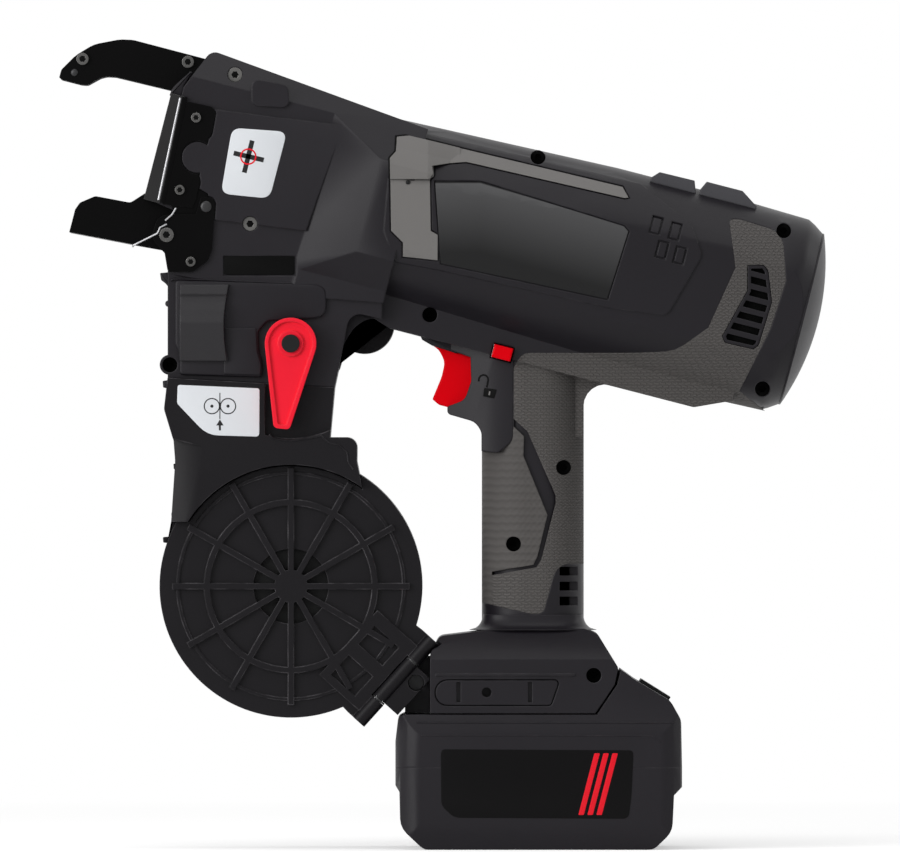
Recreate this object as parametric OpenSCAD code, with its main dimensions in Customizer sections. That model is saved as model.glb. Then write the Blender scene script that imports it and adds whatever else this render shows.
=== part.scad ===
// Battery rebar tying tool: a tilted barrel with a jawed nose, a wire magazine, a grip and a battery foot.
// X runs rearward, Y to the tool's right side and Z up. The origin is the middle of the pack's underside.

/* [Battery] */
// Distance of the pack's front end ahead of the origin
battery_front = 60; // [57:0.5:62]
// Length of the pack behind the foot
hump_len = 27.6; // [26:0.2:30]
// Width of the pack
battery_w = 75; // [72:1:80]
// Height of the pack from the floor to its shoulder
battery_h = 56; // [53:1:60]
// Wall of the pack's two cases
battery_wall = 2.4; // [2:0.1:2.8]
// Diameter of one cell
cell_d = 18.4; // [17.5:0.1:18.8]
// Length of one cell
cell_len = 65; // [60:0.5:66]

/* [Foot and grip] */
// Length of the foot that the pack slides into
foot_len = 78; // [75:1:82]
// Width of the foot
foot_w = 68; // [64:1:72]
// Height of the foot above the pack
foot_h = 35; // [33:1:37]
// Distance of the foot's front face ahead of the origin
foot_front = 45.6; // [44:0.2:47]
// Depth of the grip along the tool
grip_depth = 42.4; // [40:0.2:45]
// Width of the grip across the tool
grip_w = 36; // [34:0.5:38]
// Distance of the grip's middle ahead of the origin
grip_ahead = 2.9; // [2:0.1:4]
// Thickness of the soft grey skin
skin = 1.4; // [1:0.1:1.6]

/* [Barrel] */
// Downward tilt of the barrel toward the rear, in degrees
tilt = 14.5; // [13.5:0.5:15.5]
// Height of the barrel's axis above the origin
axis_z = 248.2; // [245:0.2:252]
// Diameter of the barrel
barrel_d = 83.4; // [81:0.2:86]
// Width of the barrel across its flat sides
barrel_w = 74; // [72:0.5:77]
// Length of the barrel from the origin's axis point to the nose
barrel_front = 74; // [72:0.5:76]
// Length of the barrel from the origin's axis point to the rear cap
barrel_back = 112; // [110:0.5:116]
// Depth of the rear cap
cap_len = 7.5; // [6.5:0.5:9]
// Wall of the two housing halves
wall = 3; // [2.6:0.1:3.2]
// Width of the keel under the barrel
keel_w = 40; // [38:0.5:44]
// Depth of the keel below the barrel's axis
keel_drop = 46.7; // [45.5:0.1:48]

/* [Nose] */
// Reach of the nose from the origin's axis point
nose_reach = 160; // [158:0.5:164]
// Width of the nose
nose_w = 56; // [54:0.5:58]
// Height of the nose above the barrel's axis
nose_top = 46.5; // [45.5:0.1:48]
// Thickness of the steel plates on the nose
plate_t = 2; // [1.6:0.1:2.4]

/* [Jaws] */
// Length of the upper jaw with the part inside the nose
jaw_len = 86; // [84:0.5:90]
// Reach of the upper jaw ahead of the nose
jaw_reach = 51.5; // [49:0.5:54]
// Height of the upper jaw
jaw_h = 23.5; // [22.5:0.1:24.5]
// Thickness of each plate of the upper jaw
jaw_plate = 3; // [2.4:0.1:3.4]
// Gap between the plates of the upper jaw
jaw_gap = 12; // [11:0.5:13]
// Length of the hinged lower jaw ahead of its pivot
low_jaw_reach = 39.5; // [38:0.5:42]
// Height of the hinged lower jaw
low_jaw_h = 25; // [24:0.2:26]
// Width of the hinged lower jaw
low_jaw_w = 40; // [36:0.5:42]
// Diameter of the lower jaw's pivot pin
jaw_pin_d = 6; // [5:0.1:7]
// Wire of the lower jaw's spring
spring_wire = 1.6; // [1.4:0.1:1.8]

/* [Feeder] */
// Width of the feeder under the nose
feeder_w = 54; // [52:0.5:56]
// Distance of the feeder's front face ahead of the origin
feeder_front = 154.4; // [152:0.2:157]
// Length of the feeder
feeder_len = 74; // [73:0.2:76]
// Height of the split between the feeder and the magazine
feeder_z = 195.5; // [193:0.5:198]
// Pitch diameter of the two feed gears
gear_pitch_d = 20; // [19:0.1:21]
// Teeth of each feed gear
gear_teeth = 18; // [16:1:20]
// Radius of the release lever's head
lever_r = 10.7; // [10:0.1:11.5]
// Length of the release lever from its pivot to its tip
lever_len = 35.5; // [34:0.5:37]
// Diameter of the feed motor
feed_motor_d = 21; // [20:0.1:22]

/* [Magazine] */
// Distance of the reel's axis ahead of the origin
reel_ahead = 103.3; // [102:0.1:105]
// Height of the reel's axis
reel_z = 109.1; // [108:0.1:111]
// Outer radius of the reel case
case_r = 54.5; // [53.5:0.1:55.5]
// Wall of the reel case
case_wall = 2.5; // [2:0.1:3]
// Width of the reel case
case_w = 52; // [50:0.5:54]
// Diameter of the reel's flanges
reel_d = 98; // [94:0.5:100]
// Diameter of the reel's spindle
spindle_d = 14; // [12:0.2:15]
// Thickness of the reel door's plate
door_t = 2.4; // [2:0.1:2.8]
// Height of the ribs on the reel door
rib_h = 2.2; // [1.8:0.1:2.6]
// Width of the ribs on the reel door
rib_w = 2.4; // [2:0.1:3]
// Number of ribs on the reel door
rib_count = 12; // [12]
// Distance of the door's hinge from the reel's axis
hinge_r = 58.4; // [58:0.1:59.5]
// Length of the door's hinge
hinge_len = 46; // [42:0.5:48]
// Diameter of the hinge's knuckles
knuckle_d = 6.4; // [6:0.1:6.8]
// Diameter of the hinge's pin
hinge_pin_d = 3; // [2.6:0.1:3.4]

/* [Trigger] */
// Width of the trigger
trigger_w = 15; // [13:0.5:16]
// Depth of the trigger along the tool
trigger_depth = 17.3; // [16.5:0.1:18]
// Height of the trigger
trigger_h = 25.6; // [25:0.1:26.5]
// Travel of the trigger
trigger_travel = 6; // [4:0.5:6.5]
// Travel of the lock button across the grip
lock_travel = 3; // [2:0.5:3.5]

/* [Drive] */
// Diameter of the main motor
motor_d = 50; // [46:0.5:54]
// Length of the main motor
motor_len = 47; // [44:0.5:49]
// Diameter of the gear case
gear_case_d = 54; // [52:0.5:58]
// Length of the gear case
gear_case_len = 42; // [40:0.5:43]
// Diameter of the motor's shaft
rotor_shaft_d = 8; // [7:0.1:9]
// Diameter of the twisting shaft
twist_shaft_d = 12; // [11:0.1:13]

/* [Hidden] */
$fn = 64;

black = [0.10, 0.10, 0.10];
dark_grey = [0.20, 0.20, 0.20];
warm_grey = [0.43, 0.42, 0.39];
red = [0.75, 0.05, 0.08];
steel = [0.70, 0.71, 0.73];

// Overrun of a cut past the face that it opens
over = 1;
// Gap between pieces that lie in one another
seat_gap = 0.2;
// Gap that shows round an inlaid piece
bed_gap = 0.5;
// Gap between pieces that move past one another
run_gap = 0.5;
// Radial clearance of a running shaft
shaft_gap = 0.05;
// Longest share of an edge that a rounded corner may take
corner_reach = 0.48;
// Angle of one step round a rounded corner
corner_step = 18;
// Size of the blocks that cut a solid in halves
world = 3 * axis_z;

grip_x = -grip_ahead;
grip_rear = grip_x + grip_depth / 2;
grip_front = grip_x - grip_depth / 2;
reel_x = -reel_ahead;
battery_back = foot_len - foot_front + hump_len;
battery_len = battery_front + battery_back;
battery_mid = (battery_back - battery_front) / 2;
foot_z = battery_h + run_gap;
grip_top = axis_z - barrel_d * 0.35;
grip_bottom = foot_z + foot_h * 0.7;

// Outlines are tables of [along, up, corner radius] as shares of a length, a height and that height

function unit(v) = v / norm(v);

// The points of one corner b between a and c, rounded to radius r as far as the two edges allow
function round_corner(a, b, c, r) =
  let (to_a = unit(a - b),
     to_c = unit(c - b),
     half = acos(to_a * to_c) / 2,
     reach = min(r / tan(half), corner_reach * norm(a - b), corner_reach * norm(c - b)),
     radius = reach * tan(half),
     centre = b + unit(to_a + to_c) * radius / sin(half),
     from = b + to_a * reach - centre,
     start = atan2(from[1], from[0]),
     sweep = (180 - 2 * half) * (cross(to_a, to_c) < 0 ? 1 : -1),
     steps = max(1, ceil(abs(sweep) / corner_step)))
  [for (i = [0 : steps]) centre + radius * [cos(start + sweep * i / steps), sin(start + sweep * i / steps)]];

function rounded(points) =
  let (n = len(points), flat = [for (p = points) [p[0], p[1]]])
  [for (i = [0 : n - 1])
    each is_undef(points[i][2]) || points[i][2] == 0
      ? [flat[i]]
      : round_corner(flat[(i + n - 1) % n], flat[i], flat[(i + 1) % n], points[i][2])];

function placed(shares, along, up, at = [0, 0]) =
  [for (s = shares) [at[0] + s[0] * along, at[1] + s[1] * up, is_undef(s[2]) ? 0 : s[2] * abs(up)]];
function outline(shares, along, up, at = [0, 0]) = rounded(placed(shares, along, up, at));

module inset_by(d) {
  if (d != 0)
    offset(delta = -d) children();
  else
    children();
}

// A prism of the side view's outline, from y0 to y1 across the tool
module across(y0, y1) {
  translate([0, y1, 0]) rotate([90, 0, 0]) linear_extrude(y1 - y0) children();
}

// A prism of an outline in the front view, along the tool
module along(x0, x1) {
  translate([x0, 0, 0]) rotate([90, 0, 90]) linear_extrude(x1 - x0) children();
}

module on_barrel() {
  translate([0, 0, axis_z]) rotate([0, tilt, 0]) children();
}

module both_sides() {
  children();
  mirror([0, 1, 0]) children();
}

// A round bar across the tool at a point of the side view
module bar_across(at, d, y0, y1) {
  translate([at[0], y0, at[1]]) rotate([-90, 0, 0]) cylinder(d = d, h = y1 - y0);
}

// A round bar along the barrel's axis
module bar_along(d, u0, u1) {
  translate([u0, 0, 0]) rotate([0, 90, 0]) cylinder(d = d, h = u1 - u0);
}

module left_half() {
  intersection() {
    children();
    translate([-world, -world, -world]) cube([2 * world, world, 2 * world]);
  }
}

module right_half() {
  intersection() {
    children();
    translate([-world, 0, -world]) cube([2 * world, world, 2 * world]);
  }
}

module stadium(l, w) {
  for (side = [-1, 1])
    translate([side * (l - w) / 2, 0]) circle(d = w);
  square([l - w, w], center = true);
}

// Outer forms of the housing, each drawn smaller by an inset for the space inside it

barrel_neck_share = 0.925;
barrel_waist_share = 0.2;
barrel_rear_share = 0.975;

module barrel_form(inset) {
  r = barrel_d / 2 - inset;
  open = inset > skin ? over : 0;
  profile = [
    [0, -barrel_front + inset],
    [r * barrel_neck_share, -barrel_front + inset],
    [r, barrel_waist_share * barrel_back],
    [r, barrel_back * 0.7],
    [r * barrel_rear_share, barrel_back + open],
    [0, barrel_back + open]];
  on_barrel() intersection() {
    rotate([0, 90, 0]) rotate_extrude() polygon(profile);
    translate([-barrel_d, inset - barrel_w / 2, -barrel_d])
      cube([barrel_d + 2 * barrel_back, barrel_w - 2 * inset, 2 * barrel_d]);
  }
}

nose_shares = [
  [-0.955, 1, 0.09], [-0.45, 0.83], [-0.36, 0.8], [-0.36, -0.8], [-0.6, -0.95],
  [-0.925, -1.03, 0.1], [-0.925, -0.48, 0.05], [-1, -0.44, 0.05], [-1, 0.62, 0.05]];
nose_plan_shares = [[-1.1, 1], [-0.606, 1], [-0.46, 1.33], [-0.3, 1.33]];
nose_section_shares = [[0.6, 1.02], [1.01, 0.72], [1.34, 0.43], [1.34, -0.41], [1.03, -0.7], [1.03, -1.3]];

function mirrored(points) =
  concat(points, [for (i = [len(points) - 1 : -1 : 0]) [points[i][0], -points[i][1]]]);
function mirrored_across(points) =
  concat(points, [for (i = [len(points) - 1 : -1 : 0]) [-points[i][0], points[i][1]]]);

module nose_form(inset) {
  on_barrel() intersection() {
    across(-barrel_w, barrel_w) inset_by(inset) polygon(outline(nose_shares, nose_reach, nose_top));
    translate([0, 0, -barrel_d]) linear_extrude(2 * barrel_d) inset_by(inset)
      polygon(mirrored([for (s = nose_plan_shares) [s[0] * nose_reach, s[1] * nose_w / 2]]));
    along(-2 * nose_reach, 0) inset_by(inset)
      polygon(mirrored_across([for (s = nose_section_shares) [s[0] * nose_w / 2, s[1] * nose_top]]));
  }
}

arch_back = feeder_front - feeder_len;
feeder_shares = [[0, 0], [0.935, -0.09], [0.985, 0.3], [1.02, 0.62, 0.12], [1.2, 0.55], [1.2, 1], [0, 1]];
feeder_rise = axis_z - feeder_z - barrel_d * 0.1;

function feeder_points() = outline(feeder_shares, feeder_len, feeder_rise, [-feeder_front, feeder_z]);

module feeder_form(inset) {
  half = feeder_w / 2 - inset;
  across(-half, half) inset_by(inset) polygon(feeder_points());
}

keel_shares = [[-0.6, 0.5], [-0.56, 0.93], [-0.47, 1, 0.05], [0.7, 1, 0.05], [0.83, 0.86], [0.83, 0.5]];

module keel_form(inset) {
  half = keel_w / 2 - inset;
  on_barrel() across(-half, half) inset_by(inset)
    polygon(outline(keel_shares, barrel_back, -keel_drop));
}

module grip_form(inset) {
  translate([grip_x, 0, grip_bottom]) linear_extrude(grip_top - grip_bottom)
    stadium(grip_depth - 2 * inset, grip_w - 2 * inset);
}

// Height of the keel's underside at a place along the tool
function keel_z(x) = axis_z - x * tan(tilt) - keel_drop / cos(tilt);

fillet_r = grip_depth * 0.36;
fillet_w_share = 0.6;

module grip_fillet_form(inset) {
  half = fillet_w_share * grip_w / 2 - inset;
  rear = grip_rear - seat_gap;
  tail = grip_rear + 1.7 * fillet_r;
  low = keel_z(rear) - 1.6 * fillet_r;
  across(-half, half) inset_by(inset) polygon(rounded([
    [grip_x, low], [rear, low], [rear, keel_z(rear) + seat_gap, fillet_r],
    [tail, keel_z(tail) + seat_gap], [tail, keel_z(tail) + fillet_r],
    [grip_x, keel_z(grip_x) + fillet_r]]));
}

foot_shares = [
  [0, 0], [0, 0.7, 0.1], [0.05, 0.91, 0.1], [0.3, 0.98], [0.82, 1], [0.89, 0.94, 0.1],
  [1, 0.54, 0.06], [0.98, 0.34], [0.877, 0]];
foot_section_shares = [[1, -0.1], [1, 0.64, 0.12], [0.86, 0.8, 0.15], [0.55, 1.05]];

function foot_points() = outline(foot_shares, foot_len, foot_h, [-foot_front, foot_z]);

module foot_form(inset) {
  section = [for (s = foot_section_shares) [s[0] * foot_w / 2, foot_z + s[1] * foot_h]];
  intersection() {
    across(-foot_w, foot_w) inset_by(inset) polygon(foot_points());
    along(-foot_len, foot_len) inset_by(inset) polygon(mirrored_across(section));
  }
}

module gripped_forms(inset) {
  barrel_form(inset);
  keel_form(inset);
  grip_form(inset);
  grip_fillet_form(inset);
}

// Rail and slot that hold the pack under the foot

rail_w = foot_w * 0.72;
rail_neck_w = foot_w * 0.6;
rail_neck_h = foot_h * 0.09;
rail_h = foot_h * 0.2;
rail_front = foot_front * 0.7;
slot_front = foot_front * 0.92;
slot_z = battery_h + rail_h + run_gap;

// Hole in the foot's left side for a belt hook's screw
foot_plate_t = 2;
hook_hole_d = 4;
hook_hole_depth = 8;
hook_hole_at = [-foot_front + foot_len * 0.3, foot_z + foot_h * 0.25];

module hook_boss() {
  depth = hook_hole_depth + wall;
  bar_across(hook_hole_at, 2 * hook_hole_d, -foot_w / 2, depth - foot_w / 2);
}

module hook_hole() {
  bar_across(hook_hole_at, hook_hole_d + 2 * seat_gap, -foot_w / 2, hook_hole_depth - foot_w / 2);
}

module rail_slot() {
  length = slot_front + foot_len;
  low = foot_z - over;
  lip = battery_h + rail_neck_h;
  translate([-slot_front, -rail_neck_w / 2 - run_gap, low])
    cube([length, rail_neck_w + 2 * run_gap, slot_z - low]);
  translate([-slot_front, -rail_w / 2 - run_gap, lip - run_gap])
    cube([length, rail_w + 2 * run_gap, slot_z - lip + run_gap]);
}

// Screws that join the housing halves: places on the barrel, then places in the side view

screw_d = 3.2;
screw_head_d = 6;
screw_head_h = 2.6;
boss_d = 8.4;
screw_depth = 9;
screw_sink = 6;
shallow_sink = 1.2;
barrel_screw_shares = [[-0.094, 0.9], [0.855, 0.8], [0.925, -0.775], [-0.336, -0.89]];
nose_screw_shares = [[-0.88, 0.84, 0.84], [-0.745, -0.415, 1]];
grip_screw_shares = [[0.3, 0.56], [-0.19, 0.33]];

feeder_screw_at = [-feeder_front + feeder_len * 0.012, feeder_z + feeder_rise * 0.122];

function from_barrel(p) =
  [p[0] * cos(tilt) + p[1] * sin(tilt), axis_z + p[1] * cos(tilt) - p[0] * sin(tilt)];

// Each entry is [x, z, distance of the outer face from the middle plane, depth of the head below it]
housing_screw_places = concat(
  [for (s = barrel_screw_shares)
    let (v = s[1] * barrel_d / 2, p = from_barrel([s[0] * barrel_back, v]))
    [p[0], p[1], sqrt(pow(barrel_d / 2, 2) - pow(v, 2)), screw_sink]],
  [for (s = nose_screw_shares)
    let (p = from_barrel([s[0] * nose_reach, s[1] * nose_top]))
    [p[0], p[1], s[2] * nose_w / 2, shallow_sink]],
  [for (s = grip_screw_shares)
    [grip_x + s[0] * grip_depth, grip_bottom + s[1] * (grip_top - grip_bottom), grip_w / 2, screw_sink]],
  [[-foot_front + foot_len * 0.869, foot_z + foot_h * 0.45, foot_w / 2, screw_sink],
   [feeder_screw_at[0], feeder_screw_at[1], feeder_w / 2, screw_sink]]);

module screw_bosses() {
  for (p = housing_screw_places)
    bar_across([p[0], p[1]], boss_d, -p[2], p[2]);
}

module screw_holes() {
  for (p = housing_screw_places) {
    bar_across([p[0], p[1]], screw_head_d + seat_gap, -world, p[3] + screw_head_h - p[2]);
    bar_across([p[0], p[1]], screw_d + seat_gap, -p[2], screw_depth);
  }
}

// Space that the jaws, the hook and the lower jaw's swing need in the nose

mouth_w = low_jaw_w + 2 * run_gap;
jaw_w = jaw_gap + 2 * jaw_plate;
jaw_tail = jaw_len - jaw_reach;
jaw_base_v = nose_top * 0.413;
low_pivot = [-nose_reach * 0.9475, -nose_top * 0.697];
low_boss_d = jaw_pin_d * 1.7;
mouth_shares = [
  [-1.1, -1.1], [-0.83, -1.1], [-0.83, -0.2], [-0.9, -0.2], [-0.9, 0.55], [-1.1, 0.55]];

module jaw_mouth() {
  on_barrel() across(-mouth_w / 2, mouth_w / 2) polygon(outline(mouth_shares, nose_reach, nose_top));
  on_barrel() translate([-nose_reach - jaw_reach, -jaw_w / 2 - seat_gap, jaw_base_v])
    cube([jaw_len + seat_gap, jaw_w + 2 * seat_gap, jaw_h + seat_gap]);
  on_barrel() bar_across(low_pivot, low_boss_d + 2 * run_gap, -nose_w, nose_w);
}

// Solid cheeks beside the upper jaw's tail, with the jaw's slot between them
module jaw_cheeks() {
  on_barrel() translate([-nose_reach * 0.9, -nose_w * 0.47, jaw_base_v - wall])
    cube([jaw_tail * 0.75, nose_w * 0.94, nose_top * 0.9 - jaw_base_v]);
}

// Bulkheads that carry the drive: [place along the barrel, bore]

motor_u = barrel_back * 0.83 - motor_len;
gear_case_u = motor_u - gear_case_len - wall;
front_bearing_u = -barrel_front * 0.9;
bearing_d = twist_shaft_d * 2;
bearing_w = wall * 2;
rear_bearing_d = rotor_shaft_d * 2.4;
rear_bearing_u = barrel_back - bearing_w - wall;
bulkheads = [
  [gear_case_u + wall, gear_case_d], [gear_case_u + gear_case_len - 2 * wall, gear_case_d],
  [motor_u + wall, motor_d], [motor_u + motor_len - 3 * wall, motor_d],
  [rear_bearing_u, rear_bearing_d], [rear_bearing_u + bearing_w / 2, rear_bearing_d],
  [front_bearing_u, bearing_d], [front_bearing_u + bearing_w / 2, bearing_d]];

module barrel_bulkheads() {
  on_barrel() for (b = bulkheads)
    translate([b[0], 0, 0]) rotate([0, 90, 0]) difference() {
      cylinder(d = barrel_d, h = wall);
      translate([0, 0, -over]) cylinder(d = b[1] + 2 * seat_gap, h = wall + 2 * over);
    }
}

// Feed gears and lever in the feeder

gear_z = feeder_z + feeder_rise * 0.37;
gear_centre_x = -feeder_front + feeder_len * 0.36;
idler_at = [gear_centre_x - gear_pitch_d / 2, gear_z];
drive_at = [gear_centre_x + gear_pitch_d / 2, gear_z];
gear_shaft_d = gear_pitch_d * 0.3;
gear_w = feeder_w * 0.22;
lever_at = [-feeder_front + feeder_len * 0.69, feeder_z + feeder_rise * 0.32];
lever_pin_d = lever_r * 0.5;
feed_motor_at = [-arch_back + feeder_len * 0.1, feeder_z + feeder_rise * 0.51];
cover_wall = wall * 0.6;
feed_cover_d = feed_motor_d + 2 * cover_wall + 2 * seat_gap;
feed_cover_y = [feeder_w * 0.1, barrel_w * 0.54];
boss_reach = feeder_w / 2 - wall / 2;

module gear_bosses() {
  for (at = [idler_at, drive_at])
    bar_across(at, gear_shaft_d * 2, -boss_reach, -gear_w / 2 - run_gap);
  bar_across(idler_at, gear_shaft_d * 2, gear_w / 2 + run_gap, boss_reach);
  bar_across(lever_at, lever_pin_d * 2, -boss_reach, -boss_reach / 3);
}

module gear_holes() {
  for (at = [idler_at, drive_at])
    bar_across(at, gear_shaft_d + 2 * shaft_gap, -feeder_w / 2 + wall / 3, feeder_w / 2 - wall / 3);
  bar_across(lever_at, lever_pin_d + 2 * shaft_gap, -feeder_w, -boss_reach / 2);
}

// Raised cover over the feed gears on the tool's left side
bump_shares = [[0.07, 0.16], [0.07, 0.85], [0.34, 0.85], [0.29, 0.55, 0.2], [0.34, 0.16]];
bump_h = feeder_w * 0.08;

module feeder_bump() {
  across(-feeder_w / 2 - bump_h, -feeder_w / 2 + wall / 2)
    polygon(outline(bump_shares, feeder_len, feeder_rise, [-feeder_front, feeder_z]));
}

// Raised panel on each side of the barrel, with beds round the trim and the badge and four outlined windows
panel_h = 0.8;
panel_shares = [
  [-0.97, 0.8], [-0.87, 0.85], [0.45, 0.9, 0.1], [0.78, 0.63, 0.1], [0.885, 0.355, 0.1], [0.78, -0.31, 0.1],
  [0.46, -0.38], [-0.52, -0.44], [-0.77, -0.47], [-0.875, -0.2]];
trim_shares = [
  [-0.94, 0.74, 0.04], [-0.865, 0.78], [0.358, 0.82], [0.405, 0.73], [0.386, 0.715], [-0.524, 0.67],
  [-0.697, 0.563], [-0.681, 0.45], [-0.697, 0.408], [-0.62, -0.084], [-0.577, -0.105], [-0.542, -0.35],
  [-0.735, -0.4], [-0.754, -0.266], [-0.835, -0.18], [-0.943, 0.52, 0.04]];
badge_shares = [[-0.665, 0.4], [-0.42, 0.51], [0.42, 0.44, 0.03], [0.45, 0.4], [0.43, -0.3], [-0.52, -0.37]];
window_shares = [[0.593, 0.53], [0.704, 0.52], [0.658, 0.31], [0.762, 0.3]];
window_size = [barrel_front * 0.065, barrel_d * 0.09];
window_line = 0.8;

module panel_outline(beds) {
  difference() {
    polygon(outline(panel_shares, barrel_front, barrel_d / 2));
    for (shares = beds)
      inset_by(-bed_gap) polygon(outline(shares, barrel_front, barrel_d / 2));
    for (w = window_shares)
      translate([w[0] * barrel_front, w[1] * barrel_d / 2]) difference() {
        square(window_size, center = true);
        square(window_size - 2 * [window_line, window_line], center = true);
      }
  }
}

module barrel_panels() {
  intersection() {
    on_barrel() {
      across(-world, 0) panel_outline([trim_shares, badge_shares]);
      across(0, world) panel_outline([trim_shares]);
    }
    barrel_form(-panel_h);
  }
}

// Flat panels of the nose, level with its steel plates, and the pads above them
nose_panel_h = plate_t * 0.85;
nose_panel_shares = [
  [-0.965, 0.3], [-0.92, 0.485], [-0.575, 0.64], [-0.6, -0.35], [-0.84, -0.46], [-0.87, -0.25],
  [-0.965, -0.15]];
nose_pad_shares = [[-0.835, 0.843, 0.06], [-0.74, 0.862, 0.06], [-0.72, 0.675, 0.06], [-0.817, 0.608, 0.06]];

module nose_panels() {
  half = nose_w / 2 + nose_panel_h;
  on_barrel() across(-half, half) {
    difference() {
      polygon(outline(nose_panel_shares, nose_reach, nose_top));
      inset_by(-bed_gap) nose_plate_outline();
      inset_by(-bed_gap) polygon(outline(bracket_shares, nose_reach, nose_top));
    }
    polygon(outline(nose_pad_shares, nose_reach, nose_top));
  }
}

// Sunk panel on the left side under the nose
low_panel_shares = [[0.312, 0.954], [0.72, 0.954], [0.72, 1.14], [0.312, 1.14]];
low_panel_depth = 0.5;

module low_panel() {
  face = nose_w / 2;
  across(-face - over, low_panel_depth - face)
    polygon(outline(low_panel_shares, feeder_len, feeder_rise, [-feeder_front, feeder_z]));
}

// Line along each side of the foot
foot_line_shares = [[0.03, 0.44], [0.03, 0.47], [0.77, 0.47], [0.77, 0.44]];

module foot_lines() {
  half = foot_w / 2 + bed_gap;
  across(-half, half) polygon(outline(foot_line_shares, foot_len, foot_h, [-foot_front, foot_z]));
}

// Slots low in the grip's rear edge
slot_places = [0.145, 0.19, 0.235];
slot_size = [grip_depth * 0.19, grip_w * 0.24, grip_depth * 0.085];

module grip_slots() {
  for (share = slot_places)
    translate([grip_rear - grip_depth * 0.24, -grip_w / 2, grip_bottom + share * (grip_top - grip_bottom)])
      cube(slot_size);
}

// Grey skin: the part of the barrel, keel and grip inside one outline in the side view

skin_len = grip_depth * 3;
skin_h = grip_top - grip_bottom;
skin_shares = [
  [0.5, 0.905], [0.13, 0.905, 0.05], [0.104, 0.86], [0.104, 0.67, 0.05], [0.06, 0.618], [-0.03, 0.618],
  [-0.03, 0.16], [0.16, 0.12], [0.2, 0.12, 0.03], [0.245, 0.27, 0.05], [0.42, 0.27], [0.42, 0.68]];
skin_rear_shares = [
  [1.055, -1.084], [0.845, -0.854], [0.897, -0.169], [0.908, 0.318, 0.1], [0.852, 0.78, 0.2],
  [0.685, 0.8, 0.1], [0.648, 0.776, 0.1], [0.715, 0.32], [0.673, -0.324], [0.577, -0.63, 0.33]];

// The skin's edge follows the grip in front and the barrel behind
module skin_region() {
  across(-world, world) polygon(rounded(concat(
    placed(skin_shares, skin_len, skin_h, [grip_front, grip_bottom]),
    [for (p = placed(skin_rear_shares, barrel_back, barrel_d / 2)) concat(from_barrel(p), p[2])])));
}

module skin_layer() {
  intersection() {
    skin_region();
    difference() {
      gripped_forms(0);
      gripped_forms(skin);
    }
  }
}

vent_shares = [
  [0.755, 0.376], [0.815, 0.42, 0.04], [0.836, 0.37, 0.04], [0.878, 0.08], [0.87, -0.37, 0.05],
  [0.855, -0.42], [0.745, -0.43, 0.04], [0.73, -0.37], [0.778, 0.13]];
vent_slats = 7;

module vent_region(inset, y0, y1) {
  on_barrel() across(y0, y1) inset_by(inset) polygon(outline(vent_shares, barrel_back, barrel_d / 2));
}

// Space in the grip for the switch bezel and the lock button

bezel_len = grip_depth * 0.78;
bezel_h = trigger_h * 1.8;
bezel_front = trigger_depth * 0.83;
bezel_low = keel_z(grip_front) - bezel_h;
bezel_shares = [
  [-0.3, 1.165], [-0.336, 1.145, 0.02], [-0.2, 1.083], [0.29, 0.955], [0.3, 0.74, 0.1],
  [0.22, 0.57, 0.1], [0, 0.51, 0.02], [0, 0.443, 0.04],
  [0.354, 0.37, 0.15], [0.43, 0.28, 0.1], [0.43, 0.11], [0.637, 0.093, 0.05], [0.825, 0.207, 0.1],
  [0.825, 0.82], [0.94, 0.89], [1, 0.955], [1, 1.02], [0.46, 1.02]];
bezel_plan_shares = [[-0.36, 0.5], [0, 0.5], [0.3, 0.72], [0.6, 0.96], [1, 0.96]];

module bezel_block(grow) {
  start = grip_front - bezel_front;
  plan = [for (s = bezel_plan_shares) [start + s[0] * bezel_len, s[1] * grip_w / 2]];
  intersection() {
    across(-grip_w, grip_w) inset_by(-grow)
      polygon(outline(bezel_shares, bezel_len, bezel_h, [start, bezel_low]));
    translate([0, 0, bezel_low - over]) linear_extrude(bezel_h * 1.3) inset_by(-grow)
      polygon(mirrored(plan));
  }
}

trigger_slot_w = trigger_w + 2 * run_gap;
trigger_front = grip_front - trigger_depth * 1.23;
trigger_low = keel_z(trigger_front + trigger_travel) - trigger_h - run_gap;
lock_w = grip_depth * 0.19;
lock_h = grip_depth * 0.13;
lock_at = [grip_front + grip_depth * 0.2, keel_z(grip_front + grip_depth * 0.2) + lock_h * 0.35];
lock_half = keel_w / 2;

module lock_passage() {
  translate([lock_at[0], 0, lock_at[1]]) rotate([0, tilt, 0])
    cube([lock_w + 2 * run_gap, 2 * keel_w, lock_h + 2 * run_gap], center = true);
}

module housing_forms(inset) {
  gripped_forms(inset);
  nose_form(inset);
  feeder_form(inset);
  foot_form(inset);
}

// The barrel's rear end turns in towards the cap, and a rim inside it carries the cap
end_r = barrel_d * 0.44;

module rear_turn() {
  on_barrel() rotate([0, 90, 0]) rotate_extrude() polygon([
    [barrel_d / 2, barrel_back * 0.925], [barrel_d * 0.472, barrel_back * 0.965], [end_r, barrel_back],
    [end_r, barrel_back + over], [barrel_d, barrel_back + over], [barrel_d, barrel_back * 0.925]]);
}

module rear_rim() {
  on_barrel() rotate([0, 90, 0]) rotate_extrude() polygon([
    [barrel_d / 2, barrel_back * 0.86], [end_r - wall, barrel_back], [end_r - wall, barrel_back + 2 * over],
    [barrel_d, barrel_back + 2 * over], [barrel_d, barrel_back * 0.86]]);
}

module housing_inside() {
  rear_rim();
  translate([-world / 2, -world / 2, 0]) cube([world, world, slot_z + wall]);
  barrel_bulkheads();
  jaw_cheeks();
  gear_bosses();
  screw_bosses();
  hook_boss();
}

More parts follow.
